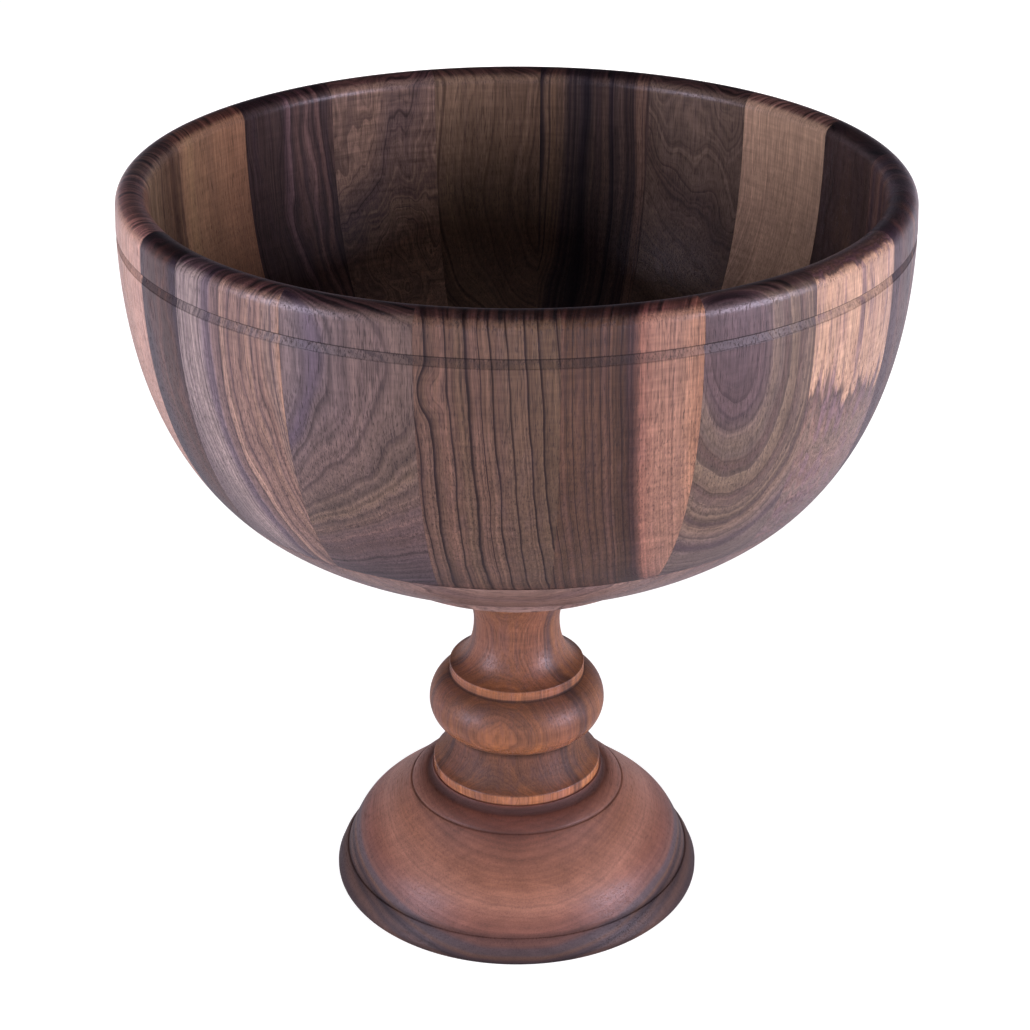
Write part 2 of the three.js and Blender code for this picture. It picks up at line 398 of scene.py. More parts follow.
class Salt(IntEnum):
    """The kinds of mark in a board; each number moves one noise away from the others."""

    STRAY = 0
    GROWTH = 3
    WEAK_YEARS = 9
    BANDS = 15
    PORES = 21
    FIBRE = 33
    CLOUDS = 41
    CURL = 53
    LAYERS = 61
    END_YEARS = 71
    STREAKS = 83


@dataclass(frozen=True)
class Grain:
    """Marks that every walnut board shares.

    A size is a mark's width and length. A level is where a noise, which mostly stays
    between 0.3 and 0.7, starts to show a mark and where it shows it in full.

    Attributes:
        pore_size: An open pore. Real ones are 0.15 mm wide, which is too fine to
            show, so they are drawn twice as wide.
        pore_depth: How deep a pore is.
        pore_tone: Its colour.
        pore_matt: How much rougher it is than the wood beside it.
        pore_level: Level from which there is a pore, in early and in late growth.
        pore_edge: How far above that level a pore is fully open.
        uneven: How many years' widths growth may run ahead.
        late_wood: Darkness through a year's growth, as (share of the year, darkness).
        weak_level: Level of a year whose line is weakest, and of one whose line is full.
        band_level: Level of the broad bands.
        fibre_size: A bundle of fibres.
        streak_size: A coloured streak.
        streak_level: Level of the streaks.
        cloud_size: A paler or darker patch.
        cloud: How much paler or darker that is.
        curl_size: A ripple, which lies across the grain.
        end_level: How much end grain a cut shows before it looks so, and looks so in full.
        end_year: Width of a year's line across end grain.
        end_year_level: Level of those lines.
        film_tint: Tint of the oil film's reflection.
        film_matt: How much rougher the wood is under the painted shade.
        sap_lines: Share of its strength that a line keeps in sapwood.
        sap_fade: How far before and after the sapwood's edge a line fades.
        span: How far the zones of colour may reach from the board's middle.
    """

    pore_size: Point = (0.3, 7)
    pore_depth: float = 0.06
    pore_tone: str = "#1f1412"
    pore_matt: float = 0.2
    pore_level: Point = (0.54, 0.62)
    pore_edge: float = 0.06
    uneven: float = 1.8
    late_wood: tuple[Point, ...] = ((0, 0.3), (0.06, 0), (0.45, 0.04), (0.84, 0.3), (0.94, 1), (1, 1))
    weak_level: Point = (0.36, 0.6)
    band_level: Point = (0.42, 0.66)
    fibre_size: Point = (0.7, 30)
    streak_size: Point = (3.2, 90)
    streak_level: Point = (0.48, 0.64)
    cloud_size: Point = (11, 34)
    cloud: float = 0.28
    curl_size: Point = (14, 1.6)
    end_level: Point = (0.2, 0.65)
    end_year: float = 2.2
    end_year_level: Point = (0.35, 0.65)
    film_tint: str = "#ece3f2"
    film_matt: float = 0.35
    sap_lines: float = 0.25
    sap_fade: Point = (1.5, 0.5)
    span: float = 80.0


@dataclass(frozen=True)
class Walnut:
    """Black walnut from one board, turned and then oiled to a satin sheen.

    To the eye this is a brown wood whose dark year lines, open pores and fine fibres
    run with the tree and are cut by the turned curve, under a thin film of oil that
    shows soft, slightly violet highlights. Its grooves, coves and creases carry painted
    shade, and some raised curves a painted highlight.

    Attributes:
        name: Name of the material.
        slot: The record's slot that it finishes; not used.
        zones: Tones across the rings: distance from the board's middle, outwards
            from the tree's centre, and colour.
        pith: The tree's centre from the board's middle: right and inwards.
        lean: How the tree leans in the board, in degrees to the right and inwards.
        ring: Width of a year's growth.
        line: How strongly the dark line at the end of a year shows.
        even: Share of that strength which the weakest year keeps.
        line_tone: Colour of those lines.
        band: How strongly broad dark bands show.
        band_width: How wide they are.
        band_tone: Their colour.
        streak: How strongly uneven coloured streaks along the grain show.
        streak_tone: Their colour.
        wander: How far rings stray from round.
        wander_size: How wide and how long a stray is.
        fibre: How strongly fine streaks along the grain show.
        layer: Width of the finest layers within a year's growth.
        pores: How strongly the open pores show.
        curl: How strongly ripples across the grain show.
        gloss: Roughness of the oiled surface.
        shine: How strongly the oil film reflects.
        end_tint: What end grain, which soaks up oil, keeps of the long grain's colour.
        end_lines: How strongly growth lines show across end grain.
        painted_shade: Brightness of the painted shade at full strength, as in a groove.
        sap_edge: Place across the rings from where the wood is sapwood.
        knots: Places where the grain is pushed aside.
        seed: Which piece of the tree it is.
        grain: Marks that it shares with the other boards.
    """

    name: str
    slot: Slot
    zones: tuple[tuple[float, str], ...]
    pith: Point
    lean: Point = (0, 0)
    ring: float = 2.6
    line: float = 0.5
    even: float = 0.35
    line_tone: str = "#2c1d1a"
    band: float = 0.4
    band_width: float = 9
    band_tone: str = "#3a2a28"
    streak: float = 0.1
    streak_tone: str = "#4d3c46"
    wander: float = 3
    wander_size: Point = (30, 110)
    fibre: float = 0.62
    layer: float = 0.9
    pores: float = 0.42
    curl: float = 0.09
    gloss: float = 0.34
    shine: float = 0.4
    end_tint: str = "#a08c98"
    end_lines: float = 0.6
    painted_shade: float = 0.42
    sap_edge: float = 80
    knots: tuple[Knot, ...] = ()
    seed: int = 1
    grain: Grain = Grain()

    def material(self, place: Place, turn_deg: Place) -> bpy.types.Material:
        """Makes the material for the board at a place.

        Args:
            place: The board's middle.
            turn_deg: How the board's own axes are turned; its third one is the grain.

        Returns:
            The material.
        """
        material = bpy.data.materials.new(self.name)
        tree = blank_tree(material)
        board = self.board_axes(tree, place, turn_deg)
        depth = self.ring_depth(tree, board)
        phase, line = self.year_lines(tree, depth)
        pores = self.open_pores(tree, board, phase)
        # Painted shade and painted highlights, noted at each vertex, darken or lighten the wood; the
        # shaded parts are made rougher and the highlighted ones smoother.
        stain = add_node(tree, "Attribute", attribute_name="stain").outputs["Fac"]
        long_grain = self.long_grain(tree, board, depth, line, pores)
        colour = self.grain_and_painted_light(tree, board, depth, long_grain, stain)
        bump = add_node(tree, "Bump", {
            "Strength": 0.8, "Distance": self.grain.pore_depth * MM, "Height": pores,
        }, invert=True)
        satin = add_node(tree, "MapRange", {"Value": pores}, ranges=(
            (0, 1), (self.gloss, self.gloss + self.grain.pore_matt),
        ))
        rough = add_node(tree, "Math", {
            0: stain, 1: self.grain.film_matt, 2: satin,
        }, operation="MULTIPLY_ADD")
        shader = add_node(tree, "BsdfPrincipled", {
            "Base Color": colour, "Roughness": rough, "Normal": bump,
            "Specular IOR Level": self.shine, "Specular Tint": linear(self.grain.film_tint),
        })
        add_node(tree, "OutputMaterial", {"Surface": shader})
        return material

    def board_axes(self, tree: Tree, place: Place, turn_deg: Place) -> Source:
        """Gives the board's own coordinates.

        Args:
            tree: The node tree.
            place: The board's middle.
            turn_deg: How its axes are turned.

        Returns:
            Millimetres to the right, inwards and along the grain.
        """
        coordinates = add_node(tree, "TexCoord")
        return add_node(tree, "Mapping", {
            "Vector": coordinates.outputs["Object"], "Location": [c * MM for c in place],
            "Rotation": [math.radians(a) for a in turn_deg], "Scale": (MM, MM, MM),
        }, vector_type="TEXTURE")

    def marks(self, tree: Tree, board: Source, size: Point, detail: float, salt: Salt) -> bpy.types.Node:
        """Spreads marks of a real width and length through the board, as a noise.

        Args:
            tree: The node tree.
            board: The board's coordinates.
            size: Width and length of a mark.
            detail: How many finer layers it has.
            salt: Which kind of mark it is.

        Returns:
            The noise node.
        """
        across, along = size
        mapping = add_node(tree, "Mapping", {
            "Vector": board,
            "Location": (self.seed * 17.3 + salt, self.seed * 5.9, self.seed * 11.1),
            "Scale": (1 / across, 1 / across, 1 / along),
        })
        return add_node(tree, "TexNoise", {
            "Vector": mapping, "Scale": 1.0, "Detail": detail, "Roughness": 0.55,
        })

    def ring_marks(
        self, tree: Tree, depth: Source, width: float, detail: float, salt: Salt,
    ) -> bpy.types.Node:
        """Spreads marks that change only from ring to ring, as a noise.

        Args:
            tree: The node tree.
            depth: Distance across the rings.
            width: Width of a mark.
            detail: How many finer layers it has.
            salt: Which kind of mark it is.

        Returns:
            The noise node.
        """
        place = add_node(tree, "Math", {
            0: depth, 1: 1 / width, 2: self.seed * 7.7 + salt,
        }, operation="MULTIPLY_ADD")
        return add_node(tree, "TexNoise", {
            "W": place, "Scale": 1.0, "Detail": detail, "Roughness": 0.6,
        }, noise_dimensions="1D")

    def ring_depth(self, tree: Tree, board: Source) -> Source:
        """Gives the distance across the rings from the board's middle.

        Args:
            tree: The node tree.
            board: The board's coordinates.

        Returns:
            Millimetres outwards from the tree's centre.
        """
        stray = self.marks(tree, board, self.wander_size, 2, Salt.STRAY)
        centred = add_node(tree, "VectorMath", {
            0: stray.outputs["Color"], 1: (0.5, 0.5, 0.5),
        }, operation="SUBTRACT")
        # The noise seldom leaves its middle quarter, so it is stretched to the full wander.
        reach = 4 * self.wander
        moved = add_node(tree, "VectorMath", {
            0: centred, 1: (reach, reach, 0), 2: board,
        }, operation="MULTIPLY_ADD")
        for knot in self.knots:
            moved = self.pushed(tree, board, moved, knot)
        trunk = add_node(tree, "Mapping", {
            "Vector": moved, "Location": (*self.pith, 0),
            "Rotation": (math.radians(-self.lean[1]), math.radians(self.lean[0]), 0),
        }, vector_type="TEXTURE")
        flat = add_node(tree, "VectorMath", {0: trunk, 1: (1, 1, 0)}, operation="MULTIPLY")
        length = add_node(tree, "VectorMath", {0: flat}, operation="LENGTH")
        return add_node(tree, "Math", {
            0: length.outputs["Value"], 1: math.hypot(*self.pith),
        }, operation="SUBTRACT")

    def pushed(self, tree: Tree, board: Source, moved: Source, knot: Knot) -> Source:
        """Pushes the rings aside round a knot.

        Args:
            tree: The node tree.
            board: The board's coordinates.
            moved: The same, after what has moved the rings so far.
            knot: The knot.

        Returns:
            The coordinates that the rings are drawn in.
        """
        offset = add_node(tree, "VectorMath", {0: board, 1: (knot.x, 0, knot.z)}, operation="SUBTRACT")
        scaled = add_node(tree, "VectorMath", {
            0: offset, 1: (1 / knot.radius, 0, knot.squash / knot.radius),
        }, operation="MULTIPLY")
        length = add_node(tree, "VectorMath", {0: scaled}, operation="LENGTH")
        share = add_node(tree, "MapRange", {
            "Value": length.outputs["Value"],
        }, ranges=((1, 0), (0, knot.push)), interpolation_type="SMOOTHERSTEP")
        push = add_node(tree, "CombineXYZ", {"X": share, "Y": share})
        return add_node(tree, "VectorMath", {0: moved, 1: push}, operation="ADD")

    def year_lines(self, tree: Tree, depth: Source) -> tuple[Source, Source]:
        """Gives the years of growth.

        Args:
            tree: The node tree.
            depth: Distance across the rings.

        Returns:
            The place within a year, from 0 to 1, and the darkness of the line at its end.
        """
        uneven = add_node(tree, "Math", {
            0: self.ring_marks(tree, depth, self.ring * 3, 1, Salt.GROWTH), 1: self.grain.uneven,
        }, operation="MULTIPLY")
        years = add_node(tree, "Math", {0: depth, 1: 1 / self.ring, 2: uneven}, operation="MULTIPLY_ADD")
        phase = add_node(tree, "Math", {0: years}, operation="FRACT")
        late = add_node(tree, "FloatCurve", {"Value": phase}, curve=self.grain.late_wood)
        year = add_node(tree, "MapRange", {
            "Value": self.ring_marks(tree, depth, self.ring * 2.1, 1, Salt.WEAK_YEARS),
        }, ranges=(self.grain.weak_level, (self.even * self.line, self.line)))
        before, after = self.grain.sap_fade
        sap = add_node(tree, "MapRange", {"Value": depth}, ranges=(
            (self.sap_edge - before, self.sap_edge + after), (1, self.grain.sap_lines),
        ))
        strength = add_node(tree, "Math", {0: year, 1: sap}, operation="MULTIPLY")
        return phase, add_node(tree, "Math", {0: late, 1: strength}, operation="MULTIPLY")

    def open_pores(self, tree: Tree, board: Source, phase: Source) -> Source:
        """Gives the pores: short dark dashes along the grain, thickest in early growth.

        Args:
            tree: The node tree.
            board: The board's coordinates.
            phase: The place within a year.

        Returns:
            1 in a pore and 0 beside it.
        """
        dashes = self.marks(tree, board, self.grain.pore_size, 1, Salt.PORES)
        least = add_node(tree, "MapRange", {"Value": phase}, ranges=((0, 1), self.grain.pore_level))
        over = add_node(tree, "Math", {0: dashes, 1: least}, operation="SUBTRACT")
        return add_node(tree, "MapRange", {"Value": over}, ranges=((0, self.grain.pore_edge), (0, 1)))

    def long_grain(
        self, tree: Tree, board: Source, depth: Source, line: Source, pores: Source,
    ) -> Source:
        """Gives the colour of the long grain: zones, broad bands, year lines, streaks and pores.

        Args:
            tree: The node tree.
            board: The board's coordinates.
            depth: Distance across the rings.
            line: Darkness of the years' lines.
            pores: Where the pores are.

        Returns:
            The colour.
        """
        span = self.grain.span
        place = add_node(tree, "MapRange", {"Value": depth}, ranges=((-span, span), (0, 1)))
        stops = [((d + span) / (2 * span), linear(c)) for d, c in self.zones]
        colour = add_node(tree, "ValToRGB", {0: place}, stops=stops).outputs[0]
        band = add_node(tree, "MapRange", {
            "Value": self.ring_marks(tree, depth, self.band_width, 2, Salt.BANDS),
        }, ranges=(self.grain.band_level, (0, self.band)))
        streak = add_node(tree, "MapRange", {
            "Value": self.marks(tree, board, self.grain.streak_size, 2, Salt.STREAKS),
        }, ranges=(self.grain.streak_level, (0, self.streak)), interpolation_type="SMOOTHSTEP")
        pore = add_node(tree, "Math", {0: pores, 1: self.pores}, operation="MULTIPLY")
        marks = (
            (band, self.band_tone), (line, self.line_tone),
            (streak, self.streak_tone), (pore, self.grain.pore_tone),
        )
        for share, tone in marks:
            mix = add_node(tree, "Mix", {0: share, 6: colour, 7: linear(tone)}, data_type="RGBA")
            colour = mix.outputs[2]
        return colour

    def grain_and_painted_light(
        self, tree: Tree, board: Source, depth: Source, colour: Source, stain: Source,
    ) -> Source:
        """Lights and shades the wood by its fibres, patches, ripples and end grain, and adds the painted
        shade and painted highlights.

        Args:
            tree: The node tree.
            board: The board's coordinates.
            depth: Distance across the rings.
            colour: Colour of the long grain.
            stain: Strength of the painted shade at each point; negative for a painted highlight.

        Returns:
            The colour of the finished wood.
        """
        fibres = add_node(tree, "Math", {
            0: self.marks(tree, board, self.grain.fibre_size, 3, Salt.FIBRE),
            1: self.ring_marks(tree, depth, self.layer, 3, Salt.LAYERS),
        }, operation="ADD")
        fibre = add_node(tree, "MapRange", {
            "Value": fibres,
        }, ranges=((0, 2), (1 - 2 * self.fibre, 1 + 2 * self.fibre)), clamp=False)
        cloud = add_node(tree, "MapRange", {
            "Value": self.marks(tree, board, self.grain.cloud_size, 2, Salt.CLOUDS),
        }, ranges=((0, 1), (1 - self.grain.cloud, 1 + self.grain.cloud)), clamp=False)
        ripple = add_node(tree, "MapRange", {
            "Value": self.marks(tree, board, self.grain.curl_size, 2, Salt.CURL),
        }, ranges=((0, 1), (1 - 3 * self.curl, 1 + 3 * self.curl)), clamp=False)
        cut = add_node(tree, "Attribute", attribute_name="end_grain")
        across = add_node(tree, "MapRange", {
            "Value": cut.outputs["Fac"],
        }, ranges=(self.grain.end_level, (0, 1)), interpolation_type="SMOOTHSTEP")
        years = add_node(tree, "MapRange", {
            "Value": self.ring_marks(tree, depth, self.grain.end_year, 2, Salt.END_YEARS),
        }, ranges=(self.grain.end_year_level, (1 - self.end_lines, 1 + self.end_lines)), clamp=False)
        lines = add_node(tree, "Mix", {0: across, 2: 1.0, 3: years})
        # Painted shade darkens the wood here, and a painted highlight (a negative value) lightens it.
        oil = add_node(tree, "Math", {0: self.painted_shade, 1: stain}, operation="POWER")
        light = fibre
        for factor in (cloud, ripple, oil, lines):
            light = add_node(tree, "Math", {0: light, 1: factor}, operation="MULTIPLY")
        shaded = add_node(tree, "VectorMath", {0: colour, "Scale": light}, operation="SCALE")
        tint = add_node(tree, "Mix", {
            0: across, 6: (1, 1, 1, 1), 7: linear(self.end_tint),
        }, data_type="RGBA")
        return add_node(tree, "VectorMath", {0: shaded, 1: tint.outputs[2]}, operation="MULTIPLY")


@dataclass(frozen=True)
class ZincPlate:
    """Bright zinc, plated on a steel screw: a cool pale metal with a faint cloudy bloom.

    Attributes:
        name: Name of the material.
        tone: Its colour.
        bloom_tone: Its colour where it has clouded.
        cloud: Width of a cloud of the bloom.
        polish: Least and greatest roughness, from one cloud to the next.
    """

    name: str = "zinc_plated_steel"
    tone: str = "#c3c6c9"
    bloom_tone: str = "#a9adb2"
    cloud: float = 1.4
    polish: Point = (0.22, 0.42)

    def material(self) -> bpy.types.Material:
        """Makes the material.

        Returns:
            The material.
        """
        material = bpy.data.materials.new(self.name)
        tree = blank_tree(material)
        coordinates = add_node(tree, "TexCoord")
        clouds = add_node(tree, "TexNoise", {
            "Vector": coordinates.outputs["Object"], "Scale": 1 / (self.cloud * MM), "Detail": 3.0,
        })
        stops = [(0.3, linear(self.bloom_tone)), (0.7, linear(self.tone))]
        bloom = add_node(tree, "ValToRGB", {0: clouds}, stops=stops)
        rough = add_node(tree, "MapRange", {"Value": clouds}, ranges=((0, 1), self.polish))
        shader = add_node(tree, "BsdfPrincipled", {
            "Base Color": bloom, "Metallic": 1.0, "Roughness": rough,
        })
        add_node(tree, "OutputMaterial", {"Surface": shader})
        return material


# The boards of the staves, in the order of their solids, each with what it shows the eye.
STAVES: tuple[Walnut, ...] = (
    # Pale tan and nearly plain.
    Walnut(
        "walnut_stave_01", Slot.LIGHT,
        zones=((-20, "#ba9882"), (20, "#c29d88")),
        pith=(-260, 160), ring=2.2, line=0.15, band=0.1, fibre=0.4, pores=0.3, curl=0.1, seed=1,
    ),
    # Mid brown, with broad soft layers that lean far over.
    Walnut(
        "walnut_stave_02", Slot.BROWN,
        zones=(
            (-40, "#755d52"), (-20, "#665148"), (-8, "#7e685d"), (4, "#634e45"), (16, "#796256"),
        ),
        pith=(-60, -90), lean=(38, 3), ring=4.5, line=0.5, even=0.2, band=0.4, band_width=9,
        wander=5, wander_size=(24, 50), seed=2,
    ),
    # Dark brown with near-black layers and one tan one.
    Walnut(
        "walnut_stave_03", Slot.DARK,
        zones=(
            (-22, "#74594e"), (-12, "#463836"), (-4, "#5a463e"), (2, "#362e2f"), (12, "#4a3b38"),
            (16, "#856854"), (22, "#483a37"),
        ),
        pith=(-320, 60), ring=3.5, line=0.7, line_tone="#100d16", band=0.8, band_width=5,
        band_tone="#1a151e", seed=3,
    ),
    # Warm mid brown, with broad layers that lean.
    Walnut(
        "walnut_stave_04", Slot.BROWN,
        zones=((-24, "#493933"), (-4, "#544037"), (-2, "#6d5547"), (18, "#7b6252")),
        pith=(-120, -160), lean=(-12, 0), ring=5, line=0.45, even=0.2, band=0.4, band_width=9,
        wander=4, seed=4,
    ),
    # Pinkish tan that swirls round a knot, with dark lines.
    Walnut(
        "walnut_stave_05", Slot.DARK,
        zones=((-20, "#7d645f"), (0, "#aa8775"), (14, "#6e5855"), (30, "#aa8877")),
        pith=(30, -50), lean=(2, 8), ring=3.6, line=0.55, even=0.2, line_tone="#21171c", band=0.45,
        band_width=6, band_tone="#3c2c33", wander=7, wander_size=(18, 70), curl=0.2,
        knots=(Knot(-2, -8, 30, 20),), seed=5,
    ),
    # Close stripes of dark brown and dusty pink.
    Walnut(
        "walnut_stave_06", Slot.BROWN,
        zones=(
            (-25, "#463636"), (-12, "#52403e"), (-7, "#463636"), (-4, "#84666a"), (-2, "#433536"),
            (1, "#80615c"), (3, "#473838"), (6, "#8d6c69"), (8.5, "#4a3939"), (11, "#80605b"),
            (14, "#483839"), (18, "#6a514b"), (22, "#42353b"),
        ),
        pith=(240, 90), ring=3.2, line=0.7, line_tone="#1d1418", band=0.4, band_width=5,
        streak=0.25, wander=3.2, wander_size=(15, 56), seed=6,
    ),
    # Pale orange tan and nearly plain.
    Walnut(
        "walnut_stave_07", Slot.LIGHT,
        zones=((-20, "#9f745c"), (6, "#a17b61"), (9, "#af8969"), (20, "#a27b62")),
        pith=(-300, 90), ring=3, line=0.14, band=0.12, fibre=0.4, seed=7,
    ),
    # Grey tan with strong dark lines.
    Walnut(
        "walnut_stave_08", Slot.GREY,
        zones=((-16, "#785c4b"), (10, "#9b8067"), (22, "#aa8371")),
        pith=(-260, 60), ring=3.4, line=0.8, band=0.6, band_width=5, end_tint="#b8a8b8", seed=8,
    ),
    # Pinkish sapwood, nearly plain.
    Walnut(
        "walnut_stave_09", Slot.SAPWOOD,
        zones=((-22, "#846151"), (4, "#a07661"), (26, "#a78071")),
        pith=(-220, 90), ring=2.6, line=0.14, band=0.14, end_tint="#c8b8c8", seed=9,
    ),
    # Near-black purple brown with wavy chestnut stripes.
    Walnut(
        "walnut_stave_10", Slot.BROWN,
        zones=(
            (-12, "#261a24"), (-8, "#38272a"), (-6, "#49312e"), (-2, "#3f2a24"), (0, "#5f4138"),
            (1.6, "#36241f"), (6, "#49312a"), (9, "#322125"), (12, "#261b28"),
        ),
        pith=(-220, 110), ring=2.4, line=0.5, band=0.5, band_width=4, wander=4, wander_size=(9, 34),
        fibre=0.7, shine=0.28, seed=10,
    ),
    # Grey, with many narrow tan and brown stripes side by side.
    Walnut(
        "walnut_stave_11", Slot.GREY,
        zones=(
            (-24, "#645454"), (-20, "#7e6e6c"), (-11, "#907e7a"), (-8.5, "#62535b"),
            (-6, "#574953"), (-4.5, "#886d63"), (-2, "#6f564e"), (0, "#957668"), (2, "#6f544b"),
            (5, "#917163"), (7, "#6d534a"), (10, "#8d6e5f"), (13, "#70554b"), (16, "#886f63"),
            (19, "#996e56"), (22, "#825d4e"),
        ),
        pith=(-200, 155), ring=2.2, line=0.75, line_tone="#33262b", band=0.45, band_width=3,
        band_tone="#4a3a42", wander=2, wander_size=(18, 90), fibre=0.75, pores=0.5, seed=11,
    ),
    # Dark grey brown, whose layers sweep round in wide arcs.
    Walnut(
        "walnut_stave_12", Slot.GREY,
        zones=(
            (-28, "#43373c"), (-18, "#513f3e"), (-13, "#5b4643"), (-6, "#624f42"), (-2, "#65514c"),
            (0.6, "#5e4e4e"), (1.6, "#473b49"), (3, "#655659"), (5.5, "#6f5c58"),
        ),
        pith=(25, 125), lean=(-0.5, -0.1), ring=2.7, line=0.52, line_tone="#2c2020", band=0.4,
        band_width=5, band_tone="#4a3d42", wander=1.0, wander_size=(26, 50), fibre=0.75, pores=0.6,
        curl=0.08, seed=12,
    ),
    # Warm brown with long dark lines, far apart, that bend round a knot near its top.
    Walnut(
        "walnut_stave_13", Slot.BROWN,
        zones=(
            (-24, "#554132"), (-8, "#5d473a"), (2, "#63493d"), (5, "#594436"), (13, "#654a3e"),
            (16, "#5c4539"), (24, "#62493f"),
        ),
        pith=(120, 9), lean=(-3.3, -0.2), ring=5.2, line=0.95, even=1.0, line_tone="#1e1210",
        band=0.35, band_width=4, band_tone="#4a342e", wander=1.1, wander_size=(20, 46), curl=0.12,
        fibre=0.7, pores=0.5, knots=(Knot(-20, 33, 9, 3.2),), seed=13,
    ),
    # Dark heartwood on one side, pinkish sapwood with fine dark lines on the other.
    Walnut(
        "walnut_stave_14", Slot.SAPWOOD,
        zones=(
            (-18, "#4f382a"), (-8, "#493428"), (-3, "#3d291f"), (-1.4, "#2f1e1e"),
            (-0.4, "#52372d"), (1.2, "#83584b"), (6, "#8d6657"), (14, "#8f6958"), (21, "#9d6f54"),
        ),
        pith=(-200, 110), ring=2.6, line=0.9, even=0.9, line_tone="#211514", band=0.3, band_width=4,
        band_tone="#5a3d37", wander=0.8, curl=0.12, fibre=0.65, pores=0.5, sap_edge=0, seed=14,
    ),
    # Grey brown with many layers in nested ovals.
    Walnut(
        "walnut_stave_15", Slot.GREY,
        zones=(
            (-4, "#4e3d3f"), (-1.2, "#513f3f"), (0.4, "#6a574d"), (2.6, "#645346"),
            (3.4, "#5f493d"), (4, "#4d3a35"), (5, "#6c594b"), (8, "#635043"), (8.8, "#4e3b35"),
            (9.8, "#6d584b"), (12.8, "#675447"), (14, "#41312e"), (15, "#796152"),
            (18.5, "#66544e"), (20.7, "#4e3d40"), (23, "#64544e"),
        ),
        pith=(-10, -37), lean=(-6, 4), ring=2.6, line=0.6, even=0.4, line_tone="#281c1c", band=0.3,
        band_width=3.5, band_tone="#3e3238", wander=0.7, wander_size=(16, 40), fibre=0.65,
        pores=0.5, end_tint="#b4a4b2", seed=15,
    ),
    # Mauve brown, with a ragged edge to orange sapwood that has mauve streaks.
    Walnut(
        "walnut_stave_16", Slot.TAN,
        zones=(
            (-16, "#655450"), (-8, "#735d53"), (-4.4, "#705c50"), (-2.7, "#53453e"),
            (-2.1, "#5c4940"), (-1.6, "#a37e68"), (-0.6, "#b28f76"), (0.5, "#9e7b6a"),
            (1.5, "#ae8a72"), (4, "#a57f68"), (6, "#b58e74"),
        ),
        pith=(-4, 150), ring=1.5, line=0.4, band=0.5, band_width=2.2, band_tone="#6b4a44",
        wander=1.9, wander_size=(4.5, 60), fibre=0.8, pores=0.5, streak=0.75, streak_tone="#6b5258",
        sap_edge=-1.6, end_tint="#c4b2b6", seed=16,
    ),
    # Near-black purple brown with chestnut stripes.
    Walnut(
        "walnut_stave_17", Slot.DARK,
        zones=(
            (-14, "#3e2b30"), (-7, "#5b3b2d"), (-2, "#342429"), (3, "#654334"), (7, "#322325"),
            (12, "#513532"),
        ),
        pith=(-180, 90), ring=2.8, line=0.5, band=0.5, band_width=5, band_tone="#251c26",
        streak=0.4, streak_tone="#2a2030", wander=4, wander_size=(12, 36), shine=0.28,
        end_tint="#d0c2cc", seed=17,
    ),
    # Mauve brown in soft stripes.
    Walnut(
        "walnut_stave_18", Slot.DARK,
        zones=(
            (-14, "#574346"), (-8, "#6f5249"), (-4, "#4c3b44"), (0, "#72544b"), (4, "#46373f"),
            (9, "#664b45"),
        ),
        pith=(-170, 110), lean=(3, 2), ring=3, line=0.5, band=0.45, band_tone="#2c2430",
        streak=0.35, streak_tone="#302738", wander=3.5, wander_size=(14, 70), end_tint="#c4b6c4",
        seed=18,
    ),
    # Dark brown with tan layers.
    Walnut(
        "walnut_stave_19", Slot.BROWN,
        zones=(
            (-6, "#705345"), (-2, "#41302d"), (1, "#725746"), (3, "#48352e"), (6, "#7b5e49"),
            (8, "#47352f"), (12, "#6d5345"), (15, "#433534"),
        ),
        pith=(2, -44), lean=(-2, -4), ring=3.2, line=0.5, band=0.4, wander=2.5,
        wander_size=(22, 60), seed=19,
    ),
)


def dress(
    piece: bpy.types.Object, node: str, wood: Walnut, place: Place,
    turn_deg: Place = (0, 0, 0), painted_rings: tuple[PaintedLightRing, ...] = (),
) -> bpy.types.Object:
    """Dresses a piece in its board's walnut, and lets it stand for its solid.

    Args:
        piece: The finished shape.
        node: Name of the solid that it replaces.
        wood: The walnut of its board.
        place: The board's middle.
        turn_deg: How the board's own axes are turned; its third one is the grain.
        painted_rings: Where painted shade or painted highlight lies.

    Returns:
        The piece.
    """
    turned = Euler([math.radians(a) for a in turn_deg])
    add_end_grain(piece, turned.to_matrix() @ Vector((0, 0, 1)))
    if painted_rings:
        add_painted_rings(piece, painted_rings)
    piece.data.materials.append(wood.material(place, turn_deg))
    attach(piece, "root")
    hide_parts(node)
    return piece


@dataclass(frozen=True)
class Seam:
    """The glued seam between the foot of the staves and the edge of the bottom board.

    Attributes:
        height: Its height.
        radius: Radius of its outer edge.
        slope: Slope of the bowl's outside there, in degrees.
        inside_radius: Radius of its inner edge.
        inside_slope: Slope of the bowl's inside there, in degrees.
    """

    height: float = 197.0
    radius: float = 122.6
    slope: float = 50.2
    inside_radius: float = 104.8
    inside_slope: float = 40.7

    def outer(self, pull: float) -> End:
        """Gives its outer edge as the end of a curve."""
        return End(self.radius, self.height, self.slope, pull)

    def inner(self, pull: float) -> End:
        """Gives its inner edge as the end of a curve."""
        return End(self.inside_radius, self.height, self.inside_slope, pull)


